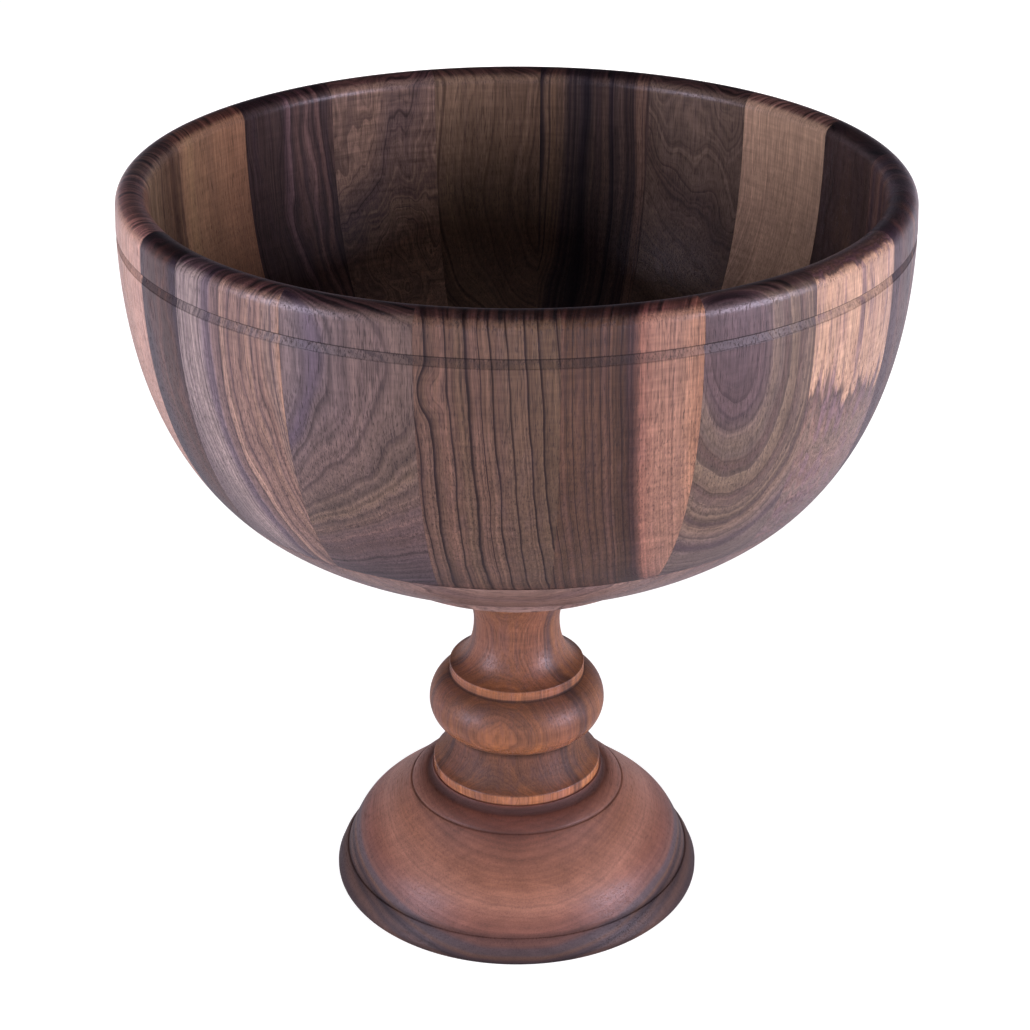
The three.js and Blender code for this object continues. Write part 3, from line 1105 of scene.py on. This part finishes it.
@dataclass
class StaveRing:
    """The upright staves, from the seam above the board to the round rim.

    Attributes:
        seam: Seam to the bottom board.
        belly_radius: Largest radius, at the groove.
        groove_bottom: Height of the groove's lower edge.
        groove_top: Height of its upper edge.
        groove_depth: How deep its upper edge is cut.
        rim_height: Top of the bowl.
        rim_inset: How far the rim stands in from the belly.
        wall: Thickness at the rim.
        board_height: Height of the middle of each stave's board.
        step: Largest step round the axis, in degrees.
        edge_rounding: How far the groove's and the seam's edges are rounded.
        seam_rounding: How far the edges of a stave are eased at its seams.
        sharp: Angle between two faces, in degrees, from which a stave's edge stays sharp.
    """

    seam: Seam = Seam()
    belly_radius: float = 150.5
    groove_bottom: float = 292.5
    groove_top: float = 295.9
    groove_depth: float = 0.9
    rim_height: float = 310.7
    rim_inset: float = 0.4
    wall: float = 12.2
    board_height: float = 250.0
    step: float = 0.75
    edge_rounding: float = 0.2
    seam_rounding: float = 0.06
    sharp: float = 34.0

    def outline(self) -> list[Point]:
        """Gives the closed outline of the wall: outside, groove, rim and inside.

        Returns:
            The points, from the foot of the outside to the foot of the inside.
        """
        belly, bottom, top = self.belly_radius, self.groove_bottom, self.groove_top
        outside = sweep(
            self.seam.outer(pull=0.286), End(belly, bottom - 0.4, slope=90, pull=0.415), steps=44,
        )
        groove = sweep(
            End(belly - 0.2, bottom + 0.3, slope=100, pull=0.3),
            End(belly - self.groove_depth, top - 0.12, slope=100, pull=0.3), steps=6,
        )
        round_off = self.wall / 2
        centre = (belly - self.rim_inset - round_off, self.rim_height - round_off)
        rim = bow(centre, round_off, round_off, start=0, end=180, steps=24)
        inside = sweep(
            self.seam.inner(pull=0.3),
            End(centre[0] - round_off, centre[1], slope=90, pull=0.48), steps=38,
        )
        return outline_of(
            outside, [(belly, bottom), (belly - 0.15, bottom + 0.12)],
            groove, [(belly, top), (belly, top + 0.4)],
            rim, inside[::-1],
        )

    def seams(self, node: str) -> tuple[float, float]:
        """Reads where a stave's solid starts and how wide it is.

        Args:
            node: Name of the stave's solid.

        Returns:
            Its first seam and its width, in degrees.
        """
        points = [Vector((v.co.x, v.co.y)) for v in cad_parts[node].data.vertices]
        middle = sum(points, Vector((0, 0))).normalized()
        heading = math.degrees(math.atan2(middle.y, middle.x))
        offsets = [math.degrees(math.atan2(middle.cross(p), middle.dot(p))) for p in points]
        return heading + min(offsets), max(offsets) - min(offsets)

    def end_edges(self, bm: bmesh.types.BMesh) -> list[bmesh.types.BMEdge]:
        """Finds the edges round a stave's two end faces, which lie in its seams.

        Args:
            bm: The stave.

        Returns:
            Those edges.
        """
        return [e for e in bm.edges if any(len(f.verts) > MOST_CORNERS for f in e.link_faces)]

    def stave(self, name: str, start: float, width: float) -> bpy.types.Object:
        """Makes one stave between its two seams.

        Args:
            name: Name of the new piece.
            start: Its first seam, in degrees.
            width: How wide it is, in degrees.

        Returns:
            The piece.
        """
        bm = bmesh.new()
        geometry = draw(bm, self.outline(), start, True)
        end_face = bm.faces.new([v for v in geometry if isinstance(v, bmesh.types.BMVert)])
        bmesh.ops.spin(
            bm, geom=[*geometry, end_face], cent=(0, 0, 0), axis=(0, 0, 1),
            angle=math.radians(width), steps=math.ceil(width / self.step), use_merge=False,
        )
        bmesh.ops.remove_doubles(bm, verts=bm.verts[:], dist=1e-7)
        bmesh.ops.recalc_face_normals(bm, faces=bm.faces[:])
        border = set(self.end_edges(bm))
        inner = [e for e in bm.edges if e not in border]
        crisp = [e for e in inner if e.calc_face_angle() > math.radians(CRISP_DEG)]
        round_edges(bm, crisp, self.edge_rounding)
        round_edges(bm, self.end_edges(bm), self.seam_rounding, 1)
        return finish_mesh(name, bm, self.sharp)

    def build(self) -> list[bpy.types.Object]:
        """Makes every stave and dresses it in its own board's walnut.

        Returns:
            The staves.
        """
        groove_middle = (self.groove_bottom + self.groove_top) / 2
        # Painted shade in the groove: a dark band, partly standing for oil left there, and a darker line
        # under the rim's overhang where shade falls.
        painted_rings = (
            PaintedLightRing(self.belly_radius - 0.4, groove_middle, full=1.8, fade=2.1, depth=0.45),
            PaintedLightRing(self.belly_radius - 0.45, self.groove_top, full=0.5, fade=0.6, depth=1.2),
        )
        staves = []
        for i, wood in enumerate(STAVES, 1):
            node = f"stave_{i:02d}"
            start, width = self.seams(node)
            piece = self.stave(f"turned_{node}", start, width)
            heading = start + width / 2
            place = (
                self.belly_radius * math.cos(math.radians(heading)),
                self.belly_radius * math.sin(math.radians(heading)), self.board_height,
            )
            staves.append(dress(piece, node, wood, place, (0, 0, heading + 90), painted_rings))
        return staves


@dataclass
class BottomBoard:
    """The level board that closes the bowl, with the pad turned under it.

    Attributes:
        bottom: Height of the pad's underside.
        pad_radius: Radius of the pad.
        pad_top: Height of the pad's upper edge.
        seam: Seam to the staves.
        floor: Height of the bowl's floor on the axis.
        mortise_radius: Radius of the hole for the stem's tenon.
        mortise_top: Height of the hole's end.
        board_height: Height of the middle of its board.
        steps: Steps in a full turn.
        edge_rounding: How far its edges are rounded.
        wood: Its walnut.
    """

    bottom: float = 154.7
    pad_radius: float = 61.7
    pad_top: float = 160.8
    seam: Seam = Seam()
    floor: float = 172.0
    mortise_radius: float = 13.3
    mortise_top: float = 164.0
    board_height: float = 180.0
    steps: int = 240
    edge_rounding: float = 0.25
    # Level grain: quiet mauve brown layers that cross the underside from side to side.
    wood: Walnut = Walnut(
        "walnut_bottom_board", Slot.BOARD,
        zones=(
            (-30, "#7b6159"), (-12, "#82665b"), (-4, "#645053"), (4, "#8a6b63"), (30, "#7f6258"),
        ),
        pith=(20, -160), lean=(1, 0), ring=2.6, line=0.5, line_tone="#33262e", band=0.45,
        band_width=6, band_tone="#4a3c46", wander=4, end_tint="#d9d0d0", end_lines=0.15, seed=31,
    )

    def outline(self) -> list[Point]:
        """Gives the outline: mortise, pad, underside and the bowl's floor.

        Returns:
            The points, from axis to axis.
        """
        underside = sweep(
            End(self.pad_radius, self.pad_top, slope=18.9, pull=0.282),
            self.seam.outer(pull=0.347), steps=40,
        )
        dish = sweep(End(0, self.floor, slope=0, pull=0.52), self.seam.inner(pull=0.2), steps=36)
        return outline_of(
            [(0, self.mortise_top), (self.mortise_radius, self.mortise_top)],
            [(self.mortise_radius, self.bottom), (self.pad_radius, self.bottom)],
            underside, dish[::-1],
        )

    def build(self) -> list[bpy.types.Object]:
        """Makes the board and dresses it.

        Returns:
            The board alone.
        """
        piece = turn("turned_bottom_board", self.outline(), self.steps, False, self.edge_rounding)
        return [dress(piece, "bowl_bottom_board", self.wood, (0, 0, self.board_height), (0, 90, 0))]


@dataclass
class Stem:
    """The turned stem: neck, upper fillet, bead, lower cove and lower fillet.

    Attributes:
        seat: Height of its seat on the foot.
        top: Height of its seat under the board.
        top_radius: Radius under the board.
        neck: Radius and height of its narrowest place.
        upper_fillet: Radius of the fillet over the bead, and its heights from and to.
        bead: Middle of the bead's half ellipses, as (radius, height).
        bead_reach: How far the bead stands out from there, and reaches down and up.
        waist_radius: Radius where the lower cove meets the bead.
        lower_fillet: Radius of the fillet on the foot, and its heights from and to.
        foot_tenon: Radius of the lower tenon, and the height of its end.
        board_tenon: Radius of the upper tenon, and the height of its end.
        chamfer: How far the ends of the tenons are chamfered.
        pilot: Radius of the screw's pilot hole, and the height where its point starts.
        board_height: Height of the middle of its blank.
        steps: Steps in a full turn.
        edge_rounding: How far its edges are rounded.
        wood: Its walnut.
    """

    seat: float = 49.3
    top: float = 154.7
    top_radius: float = 31.0
    neck: Point = (17.75, 119.0)
    upper_fillet: Fillet = (28.0, 95.6, 98.6)
    bead: Point = (24.6, 81.65)
    bead_reach: tuple[float, float, float] = (12.0, 12.5, 13.5)
    waist_radius: float = 27.2
    lower_fillet: Fillet = (35.2, 50.0, 53.0)
    foot_tenon: Point = (14.0, 29.3)
    board_tenon: Point = (13.0, 163.7)
    chamfer: float = 1.0
    pilot: Point = (2.8, 59.7)
    board_height: float = 100.0
    steps: int = 160
    edge_rounding: float = 0.35
    # Upright grain: warm orange brown, with two near-black layers up its right side.
    wood: Walnut = Walnut(
        "walnut_stem", Slot.STEM,
        zones=(
            (-40, "#825235"), (-33, "#805034"), (-29, "#764b32"), (-25, "#7d4f34"),
            (-20, "#734934"), (-13.5, "#7e4f39"), (-8.7, "#764a34"), (-7.6, "#472f26"),
            (-6.8, "#6b4533"), (-5.8, "#452d26"), (-4.2, "#794e34"), (8, "#8b5939"),
            (20, "#704731"),
        ),
        pith=(-15, -60), lean=(0, 3), ring=2.6, line=0.3, band=0.45, band_width=6,
        band_tone="#5a3d31", wander=3, wander_size=(20, 50), fibre=0.5, pores=0.25, gloss=0.42,
        shine=0.5, streak=0.2, end_tint="#ece6e0", end_lines=0.08, seed=41,
    )

    def bead_halves(self) -> tuple[list[Point], list[Point]]:
        """Gives the bead's curve.

        Returns:
            Its lower half, from the cove up, and its upper half, up to the fillet.
        """
        out, down, up = self.bead_reach
        waist = -math.degrees(math.acos((self.waist_radius - self.bead[0]) / out))
        crown = math.degrees(math.acos((self.upper_fillet[0] - self.bead[0]) / out))
        lower_half = bow(self.bead, out, down, waist, 0, steps=20)
        return lower_half, bow(self.bead, out, up, 0, crown, steps=20)

    def outline(self) -> list[Point]:
        """Gives the outline: pilot hole, lower tenon, outside and upper tenon.

        Returns:
            The points, from axis to axis.
        """
        lower_half, upper_half = self.bead_halves()
        fillet, fillet_from, fillet_to = self.upper_fillet
        ledge, ledge_from, ledge_to = self.lower_fillet
        lower_cove = sweep(
            End(*lower_half[0], slope=-90, pull=0.39),
            End(ledge, ledge_to + 0.5, slope=-31, pull=0.29), steps=20,
        )
        upper_cove = sweep(
            End(*self.neck, slope=-90, pull=0.54),
            End(fillet, fillet_to + 0.6, slope=-13, pull=0.25), steps=22,
        )
        flare = sweep(
            End(*self.neck, slope=90, pull=0.23),
            End(self.top_radius, self.top - 4.2, slope=57, pull=0.45), steps=24,
        )
        pilot, pilot_top = self.pilot
        peg, peg_end = self.foot_tenon
        pin, pin_end = self.board_tenon
        return outline_of(
            [(0, pilot_top + pilot), (pilot, pilot_top), (pilot, peg_end)],
            [(peg - self.chamfer, peg_end), (peg, peg_end + self.chamfer), (peg, self.seat)],
            [(ledge, self.seat), (ledge, ledge_from), (ledge, ledge_to)],
            lower_cove[::-1], lower_half, upper_half, [(fillet, fillet_from), (fillet, fillet_to)],
            upper_cove[::-1], flare, [(self.top_radius, self.top), (pin, self.top)],
            [(pin, pin_end - self.chamfer), (pin - self.chamfer, pin_end), (0, pin_end)],
        )

    def painted_rings(self) -> tuple[PaintedLightRing, ...]:
        """Gives the painted light: painted shade in the creases beside the bead and in the coves,
        painted highlights on its belly and the fillets.

        Returns:
            The rings of painted shade and painted highlight.
        """
        lower_half, upper_half = self.bead_halves()
        # Painted shade in the two creases beside the bead and in both coves; painted highlights on the
        # bead's belly and on both fillets.
        return (
            PaintedLightRing(*lower_half[0], full=1, fade=3.2),
            PaintedLightRing(*upper_half[-1], full=0.4, fade=0.9),
            PaintedLightRing(27.5, 63.5, full=7, fade=12, depth=0.55),
            PaintedLightRing(30, 92, full=3, fade=9, depth=0.35),
            PaintedLightRing(33, 73, full=3, fade=10, depth=-0.5),
            PaintedLightRing(self.upper_fillet[0], 97.1, full=1.6, fade=2, depth=-0.6),
            PaintedLightRing(self.lower_fillet[0], 51.5, full=1.6, fade=1.9, depth=-0.8),
        )

    def build(self) -> list[bpy.types.Object]:
        """Makes the stem and dresses it.

        Returns:
            The stem alone.
        """
        piece = turn("turned_stem", self.outline(), self.steps, False, self.edge_rounding)
        return [dress(piece, "stem", self.wood, (0, 0, self.board_height), painted_rings=self.painted_rings())]


@dataclass
class Foot:
    """The moulded foot: cove, raised ring, dome and lip, hollowed underneath.

    Attributes:
        height: Height of its landing.
        landing_radius: Radius of the landing, where the cove starts.
        ring: Radius and height of the raised ring's inner edge.
        ring_edge: Radius of the ring's outer edge, and the heights of its top and foot.
        dome: Radius and height of the dome's upper end.
        lip: The lip, from the surface that it stands on up to the dome.
        standing_width: Width of the ring that it stands on, with the lip's slope.
        hollow_depth: How deep the underside is hollowed.
        hollow_slope: How far the hollow's edge slopes in.
        counterbore: Radius and top of the recess for the screw's head.
        mortise: Radius of the hole for the stem's tenon, and the height of its floor.
        screw_radius: Radius of the hole for the screw.
        board_height: Height of the middle of its board.
        steps: Steps in a full turn.
        edge_rounding: How far its edges are rounded.
        wood: Its walnut.
    """

    height: float = 49.3
    landing_radius: float = 35.9
    ring: Point = (38.8, 46.1)
    ring_edge: Fillet = (44.5, 42.4, 41.6)
    dome: Point = (45.4, 41.6)
    lip: tuple[Point, ...] = (
        (76.8, 0), (77.3, 0.5), (77.3, 2.2), (77.05, 2.7), (75.7, 6.1), (73.3, 9.9), (72.5, 9.9),
    )
    standing_width: float = 15.0
    hollow_depth: float = 3.0
    hollow_slope: float = 2.0
    counterbore: Point = (11.0, 14.0)
    mortise: Point = (14.3, 29.0)
    screw_radius: float = 2.8
    board_height: float = 20.0
    steps: int = 300
    edge_rounding: float = 0.22
    # Level grain in dished layers: rosy tan on the dome, purple black layers at the lip. The pale layer
    # at -1.5 is a painted satin highlight across the dome, and the darker layers at 4 and 9 are painted
    # shade on the lower dome.
    wood: Walnut = Walnut(
        "walnut_foot", Slot.FOOT,
        zones=(
            (-26, "#633a2f"), (-22, "#603b30"), (-17, "#7b5142"), (-8, "#8b5d4a"),
            (-1.5, "#a1705e"), (4, "#845748"), (9, "#784d41"), (13, "#69463d"), (14.2, "#574649"),
            (16.4, "#4c3e40"), (17.6, "#624434"), (18.8, "#392727"), (20, "#291918"),
            (22, "#53392e"), (24, "#372624"), (26.5, "#5b3f33"), (31, "#3b2a29"),
        ),
        pith=(0, -148), ring=1.9, line=0.1, line_tone="#4a2c24", band=0.12, band_width=8, wander=1,
        fibre=0.3, layer=1.6, pores=0.25, gloss=0.45, shine=0.55, streak=0, end_tint="#f0ece8",
        end_lines=0.04, seed=51,
    )

    def outline(self) -> list[Point]:
        """Gives the closed outline: recess, hollow, lip, dome, ring, cove and mortise.

        Returns:
            The points, from the top of the recess round to the mortise's floor.
        """
        edge, edge_top, edge_foot = self.ring_edge
        lip_in, lip_top = self.lip[-1]
        dome = sweep(
            End(*self.dome, slope=-44.7, pull=0.62),
            End(lip_in, lip_top + 0.7, slope=-69.5, pull=0.43), steps=40,
        )
        ring = sweep(
            End(*self.ring, slope=-11, pull=0.3),
            End(edge, edge_top, slope=-49, pull=0.3), steps=12,
        )
        cove = sweep(
            End(self.landing_radius, self.height, slope=-90, pull=0.44),
            End(*self.ring, slope=0, pull=0.44), steps=12,
        )
        standing = max(radius for radius, _ in self.lip) - self.standing_width
        recess, recess_top = self.counterbore
        hole, hole_floor = self.mortise
        return outline_of(
            [(self.screw_radius, recess_top), (recess, recess_top), (recess, self.hollow_depth)],
            [(standing - self.hollow_slope, self.hollow_depth), (standing, 0)],
            list(self.lip), dome[::-1], [(edge, edge_foot)], ring[::-1], cove[::-1],
            [(hole, self.height), (hole, hole_floor), (self.screw_radius, hole_floor)],
        )

    def build(self) -> list[bpy.types.Object]:
        """Makes the foot and dresses it, with painted shade in the crease over the lip, under the ring's
        edge and in the cove, and a light painted shade over the lip.

        Returns:
            The foot alone.
        """
        piece = turn("turned_foot", self.outline(), self.steps, True, self.edge_rounding)
        # Painted shade: the crease over the lip, the lip itself near the floor, the step under the ring
        # and the cove.
        painted_rings = (
            PaintedLightRing(72.6, 10, full=0.5, fade=2, depth=0.7),
            PaintedLightRing(77.5, 1, full=5, fade=9, depth=0.3),
            PaintedLightRing(44.6, 41.6, full=0.3, fade=1.1, depth=0.4),
            PaintedLightRing(36.2, 46.8, full=1, fade=2.6),
        )
        return [dress(piece, "foot", self.wood, (0, 0, self.board_height), (-90, 0, 0), painted_rings)]


@dataclass
class FootFastener:
    """The screw and washer that draw the foot on to the stem.

    Attributes:
        nodes: Their solids, which keep their own meshes.
        finish: Their metal.
    """

    nodes: tuple[str, ...] = ("foot_screw", "foot_washer")
    finish: ZincPlate = ZincPlate()

    def build(self) -> list[bpy.types.Object]:
        """Dresses the screw and the washer in zinc.

        Returns:
            Both pieces.
        """
        material = self.finish.material()
        pieces = [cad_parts[node] for node in self.nodes]
        for piece in pieces:
            piece.data.materials.clear()
            piece.data.materials.append(material)
        return pieces


def watched(tree: Tree, rays: bpy.types.Node) -> Source:
    """Finds the rays that see the background, straight or by reflection.

    Args:
        tree: The node tree.
        rays: Its Light Path node.

    Returns:
        1 for those rays and 0 for the others, which only light the bowl.
    """
    shine = add_node(tree, "Math", {
        0: rays.outputs["Is Glossy Ray"], 1: rays.outputs["Is Transmission Ray"],
    }, operation="MAXIMUM")
    return add_node(tree, "Math", {0: rays.outputs["Is Camera Ray"], 1: shine}, operation="MAXIMUM")


@dataclass(frozen=True)
class PaleFloor:
    """White paper, matt: it keeps the bowl's soft shadow and runs out to plain white.

    Its brightness changes over a distance from the axis, and is given as that
    distance's two ends, in metres, and the brightness at each.

    Attributes:
        name: Name of the material.
        paper: Colour of the paper as it lights the bowl.
        lift: Light that it adds from below.
        shade_tone: Colour that shows the shadow.
        view: How bright it looks, by distance from the axis.
        gloss: How bright its reflection is, by distance to the left or right.
        gloss_tint: Colour of that reflection.
    """

    name: str = "pale_floor"
    paper: str = "#f4f2f1"
    lift: float = 0.25
    shade_tone: str = "#b4b2b2"
    view: tuple[Point, Point] = ((0.2, 0.8), (0.86, 1.0))
    gloss: tuple[Point, Point] = ((0.1, 0.7), (0.55, 1.25))
    gloss_tint: str = "#f4ecfa"

    def material(self) -> bpy.types.Material:
        """Makes the material.

        Returns:
            The material.
        """
        material = bpy.data.materials.new(self.name)
        tree = blank_tree(material)
        rays = add_node(tree, "LightPath")
        glossy = rays.outputs["Is Glossy Ray"]
        paper = add_node(tree, "BsdfDiffuse", {"Color": linear(self.paper)})
        lift = add_node(tree, "Emission", {"Color": (1, 1, 1, 1), "Strength": self.lift})
        lighting = add_node(tree, "AddShader", {0: paper, 1: lift})
        shade = add_node(tree, "BsdfDiffuse", {"Color": linear(self.shade_tone)})
        shadow = add_node(tree, "MixShader", {0: glossy, 1: shade})
        glow = add_node(tree, "AddShader", {0: shadow, 1: self.glow(tree, glossy)})
        paper_side = add_node(tree, "MixShader", {0: watched(tree, rays), 1: lighting, 2: glow})
        # Seen from below, the floor lets the view through to the bowl's underside.
        side = add_node(tree, "NewGeometry")
        clear = add_node(tree, "BsdfTransparent")
        surface = add_node(tree, "MixShader", {0: side.outputs["Backfacing"], 1: paper_side, 2: clear})
        add_node(tree, "OutputMaterial", {"Surface": surface})
        return material

    def glow(self, tree: Tree, glossy: bpy.types.NodeSocket) -> Source:
        """Gives the light that the camera and reflections see.

        Args:
            tree: The node tree.
            glossy: 1 for a ray that makes a reflection.

        Returns:
            The shader.
        """
        coordinates = add_node(tree, "TexCoord").outputs["Object"]
        away = add_node(tree, "VectorMath", {0: coordinates}, operation="LENGTH")
        apart = add_node(tree, "SeparateXYZ", {0: coordinates})
        beside = add_node(tree, "Math", {0: apart.outputs["X"]}, operation="ABSOLUTE")
        seen = add_node(tree, "MapRange", {"Value": away.outputs["Value"]}, ranges=self.view)
        mirrored = add_node(tree, "MapRange", {
            "Value": beside,
        }, ranges=self.gloss, interpolation_type="SMOOTHSTEP")
        level = add_node(tree, "Mix", {0: glossy, 2: seen, 3: mirrored})
        tint = add_node(tree, "Mix", {
            0: glossy, 6: (1, 1, 1, 1), 7: linear(self.gloss_tint),
        }, data_type="RGBA")
        return add_node(tree, "Emission", {"Color": tint.outputs[2], "Strength": level})


@dataclass(frozen=True)
class WhiteSurround:
    """A white room: plain white behind the bowl, and dim where it would light the wood.

    Attributes:
        name: Name of the world.
        light: Level that lights the bowl.
        room: Level of the room in reflections.
        backdrop: Level of the wall behind the bowl in reflections.
        backdrop_turn: Share of a ray's direction that points away from the camera,
            where the wall begins and where it is full.
        backdrop_rise: Share that points up, where the wall ends and where it is full.
        gloss_tint: Colour of the room in reflections.
    """

    name: str = "white_surround"
    light: float = 0.07
    room: float = 0.05
    backdrop: float = 0.42
    backdrop_turn: Point = (-0.1, 0.5)
    backdrop_rise: Point = (0.4, 0.05)
    gloss_tint: str = "#ece0f6"

    def build(self) -> None:
        """Makes the world and sets it."""
        world = bpy.data.worlds.new(self.name)
        bpy.context.scene.world = world
        tree = blank_tree(world)
        rays = add_node(tree, "LightPath")
        coordinates = add_node(tree, "TexCoord")
        direction = add_node(tree, "SeparateXYZ", {0: coordinates.outputs["Generated"]})
        level: float | Source = self.backdrop
        for axis, reach in (("Y", self.backdrop_turn), ("Z", self.backdrop_rise)):
            level = add_node(tree, "MapRange", {
                "Value": direction.outputs[axis],
            }, ranges=(reach, (0, level)), interpolation_type="SMOOTHSTEP")
        for least in (self.room, rays.outputs["Is Camera Ray"]):
            level = add_node(tree, "Math", {0: level, 1: least}, operation="MAXIMUM")
        level = add_node(tree, "Mix", {0: watched(tree, rays), 2: self.light, 3: level})
        tint = add_node(tree, "Mix", {
            0: rays.outputs["Is Glossy Ray"], 6: (1, 1, 1, 1), 7: linear(self.gloss_tint),
        }, data_type="RGBA")
        shade = add_node(tree, "Background", {"Color": tint.outputs[2], "Strength": level})
        add_node(tree, "OutputWorld", {"Surface": shade})


@dataclass(frozen=True)
class Softbox:
    """A flat soft lamp.

    Attributes:
        place: Where it hangs.
        width: Its width.
        height: Its height.
        power: Its power, in watts.
        tint: Colour of its light.
        glints: Whether the wood's oil film mirrors it.
    """

    place: Place
    width: float
    height: float
    power: float
    tint: str = "#fffaf4"
    glints: bool = False


class Lamp(Enum):
    """The softboxes round the bowl."""

    LEFT = Softbox((-1.15, -0.62, 0.43), 0.6, 0.6, 14.8, "#f6f2ff", True)
    RIGHT = Softbox((1.15, -0.58, 0.40), 0.6, 0.5, 18.5, "#f6f2ff", True)
    FRONT = Softbox((0.0, -1.5, 0.52), 1.2, 0.3, 4.8)
    LOW = Softbox((0.0, -1.3, 0.14), 1.6, 0.2, 2.2)
    BACK = Softbox((0.0, 1.5, 0.26), 1.6, 0.3, 9.0)


@dataclass
class Studio:
    """A pale floor, a white surround, soft lamps and the camera.

    Attributes:
        target: Height of the place on the axis that the lamps point to.
        paper: The floor's finish.
        surround: The white room.
        floor_size: Half the floor's width.
        floor_height: Height of the floor, a hair below the foot.
        well_height: Height of the lamp over the bowl's mouth.
        well_radius: Radius that this lamp lights, within the rim.
        well_power: Power of this lamp, in watts.
        well_blend: Share of its beam that fades at the edge.
        camera_place: Where the camera stands.
        camera_pitch: How far it is turned up from straight down.
        lens: Its focal length, in millimetres on a frame of sensor_width.
        sensor_width: Width of that frame, in millimetres.
        shift: How far the picture is moved right and up, as a share of its width.
        clip: Nearest and farthest distance that it shows.
    """

    target: float = 0.17
    paper: PaleFloor = PaleFloor()
    surround: WhiteSurround = WhiteSurround()
    floor_size: float = 9.0
    floor_height: float = -0.0002
    well_height: float = 1.6
    well_radius: float = 0.118
    well_power: float = 20.0
    well_blend: float = 0.4
    camera_place: Place = (0, -0.8422, 0.58275)
    camera_pitch: float = 63.652
    lens: float = 81.24
    sensor_width: float = 36.0
    shift: Point = (-0.0017, 0.0005)
    clip: Point = (0.05, 60)

    def floor(self) -> None:
        """Lays the pale floor."""
        bm = bmesh.new()
        bmesh.ops.create_grid(
            bm, x_segments=1, y_segments=1, size=self.floor_size,
            matrix=Matrix.Translation((0, 0, self.floor_height)),
        )
        floor = finish_mesh("studio_floor", bm)
        floor.data.materials.append(self.paper.material())

    def hang(self, data: bpy.types.Light, place: Vector, glints: bool) -> None:
        """Hangs a lamp that the camera doesn't see, and points it at the bowl.

        Args:
            data: The lamp.
            place: Where it hangs.
            glints: Whether the wood's oil film mirrors it.
        """
        lamp = bpy.data.objects.new(data.name, data)
        lamp.location = place
        lamp.visible_camera = False
        lamp.visible_glossy = glints
        aim = Vector((0, 0, self.target)) - place
        lamp.rotation_euler = aim.to_track_quat("-Z", "Y").to_euler()
        bpy.context.scene.collection.objects.link(lamp)

    def lamps(self) -> None:
        """Hangs the softboxes."""
        for lamp in Lamp:
            box = lamp.value
            data = bpy.data.lights.new(f"softbox_{lamp.name.lower()}", "AREA")
            data.shape = "RECTANGLE"
            data.size, data.size_y, data.energy = box.width, box.height, box.power
            data.color = linear(box.tint)[:3]
            self.hang(data, Vector(box.place), box.glints)

    def well_light(self) -> None:
        """Hangs a narrow lamp that reaches down to the bowl's floor and misses the rim."""
        data = bpy.data.lights.new("well_light", "SPOT")
        data.energy = self.well_power
        data.shadow_soft_size = self.well_radius / 4
        data.spot_size = 2 * math.atan2(self.well_radius, self.well_height - self.target)
        data.spot_blend = self.well_blend
        self.hang(data, Vector((0, 0, self.well_height)), False)

    def camera(self) -> None:
        """Sets the camera where the photograph was taken from."""
        data = bpy.data.cameras.new("camera")
        data.sensor_width, data.lens = self.sensor_width, self.lens
        data.shift_x, data.shift_y = self.shift
        data.clip_start, data.clip_end = self.clip
        camera = bpy.data.objects.new("camera", data)
        camera.location = self.camera_place
        camera.rotation_euler = (math.radians(self.camera_pitch), 0, 0)
        bpy.context.scene.collection.objects.link(camera)
        bpy.context.scene.camera = camera

    def build(self) -> None:
        """Makes the whole studio."""
        self.floor()
        self.surround.build()
        self.lamps()
        self.well_light()
        self.camera()
        bpy.context.scene.view_settings.view_transform = "Standard"


def main() -> None:
    """Builds the bowl, the pedestal and the studio in order, and reports each piece."""
    logging.basicConfig(level=logging.INFO, format="%(name)s: %(message)s")
    for sub_assembly in (StaveRing(), BottomBoard(), Stem(), Foot(), FootFastener()):
        for piece in sub_assembly.build():
            LOG.info("%s: %d faces", piece.name, len(piece.data.polygons))
    Studio().build()


if __name__ == "__main__":
    main()
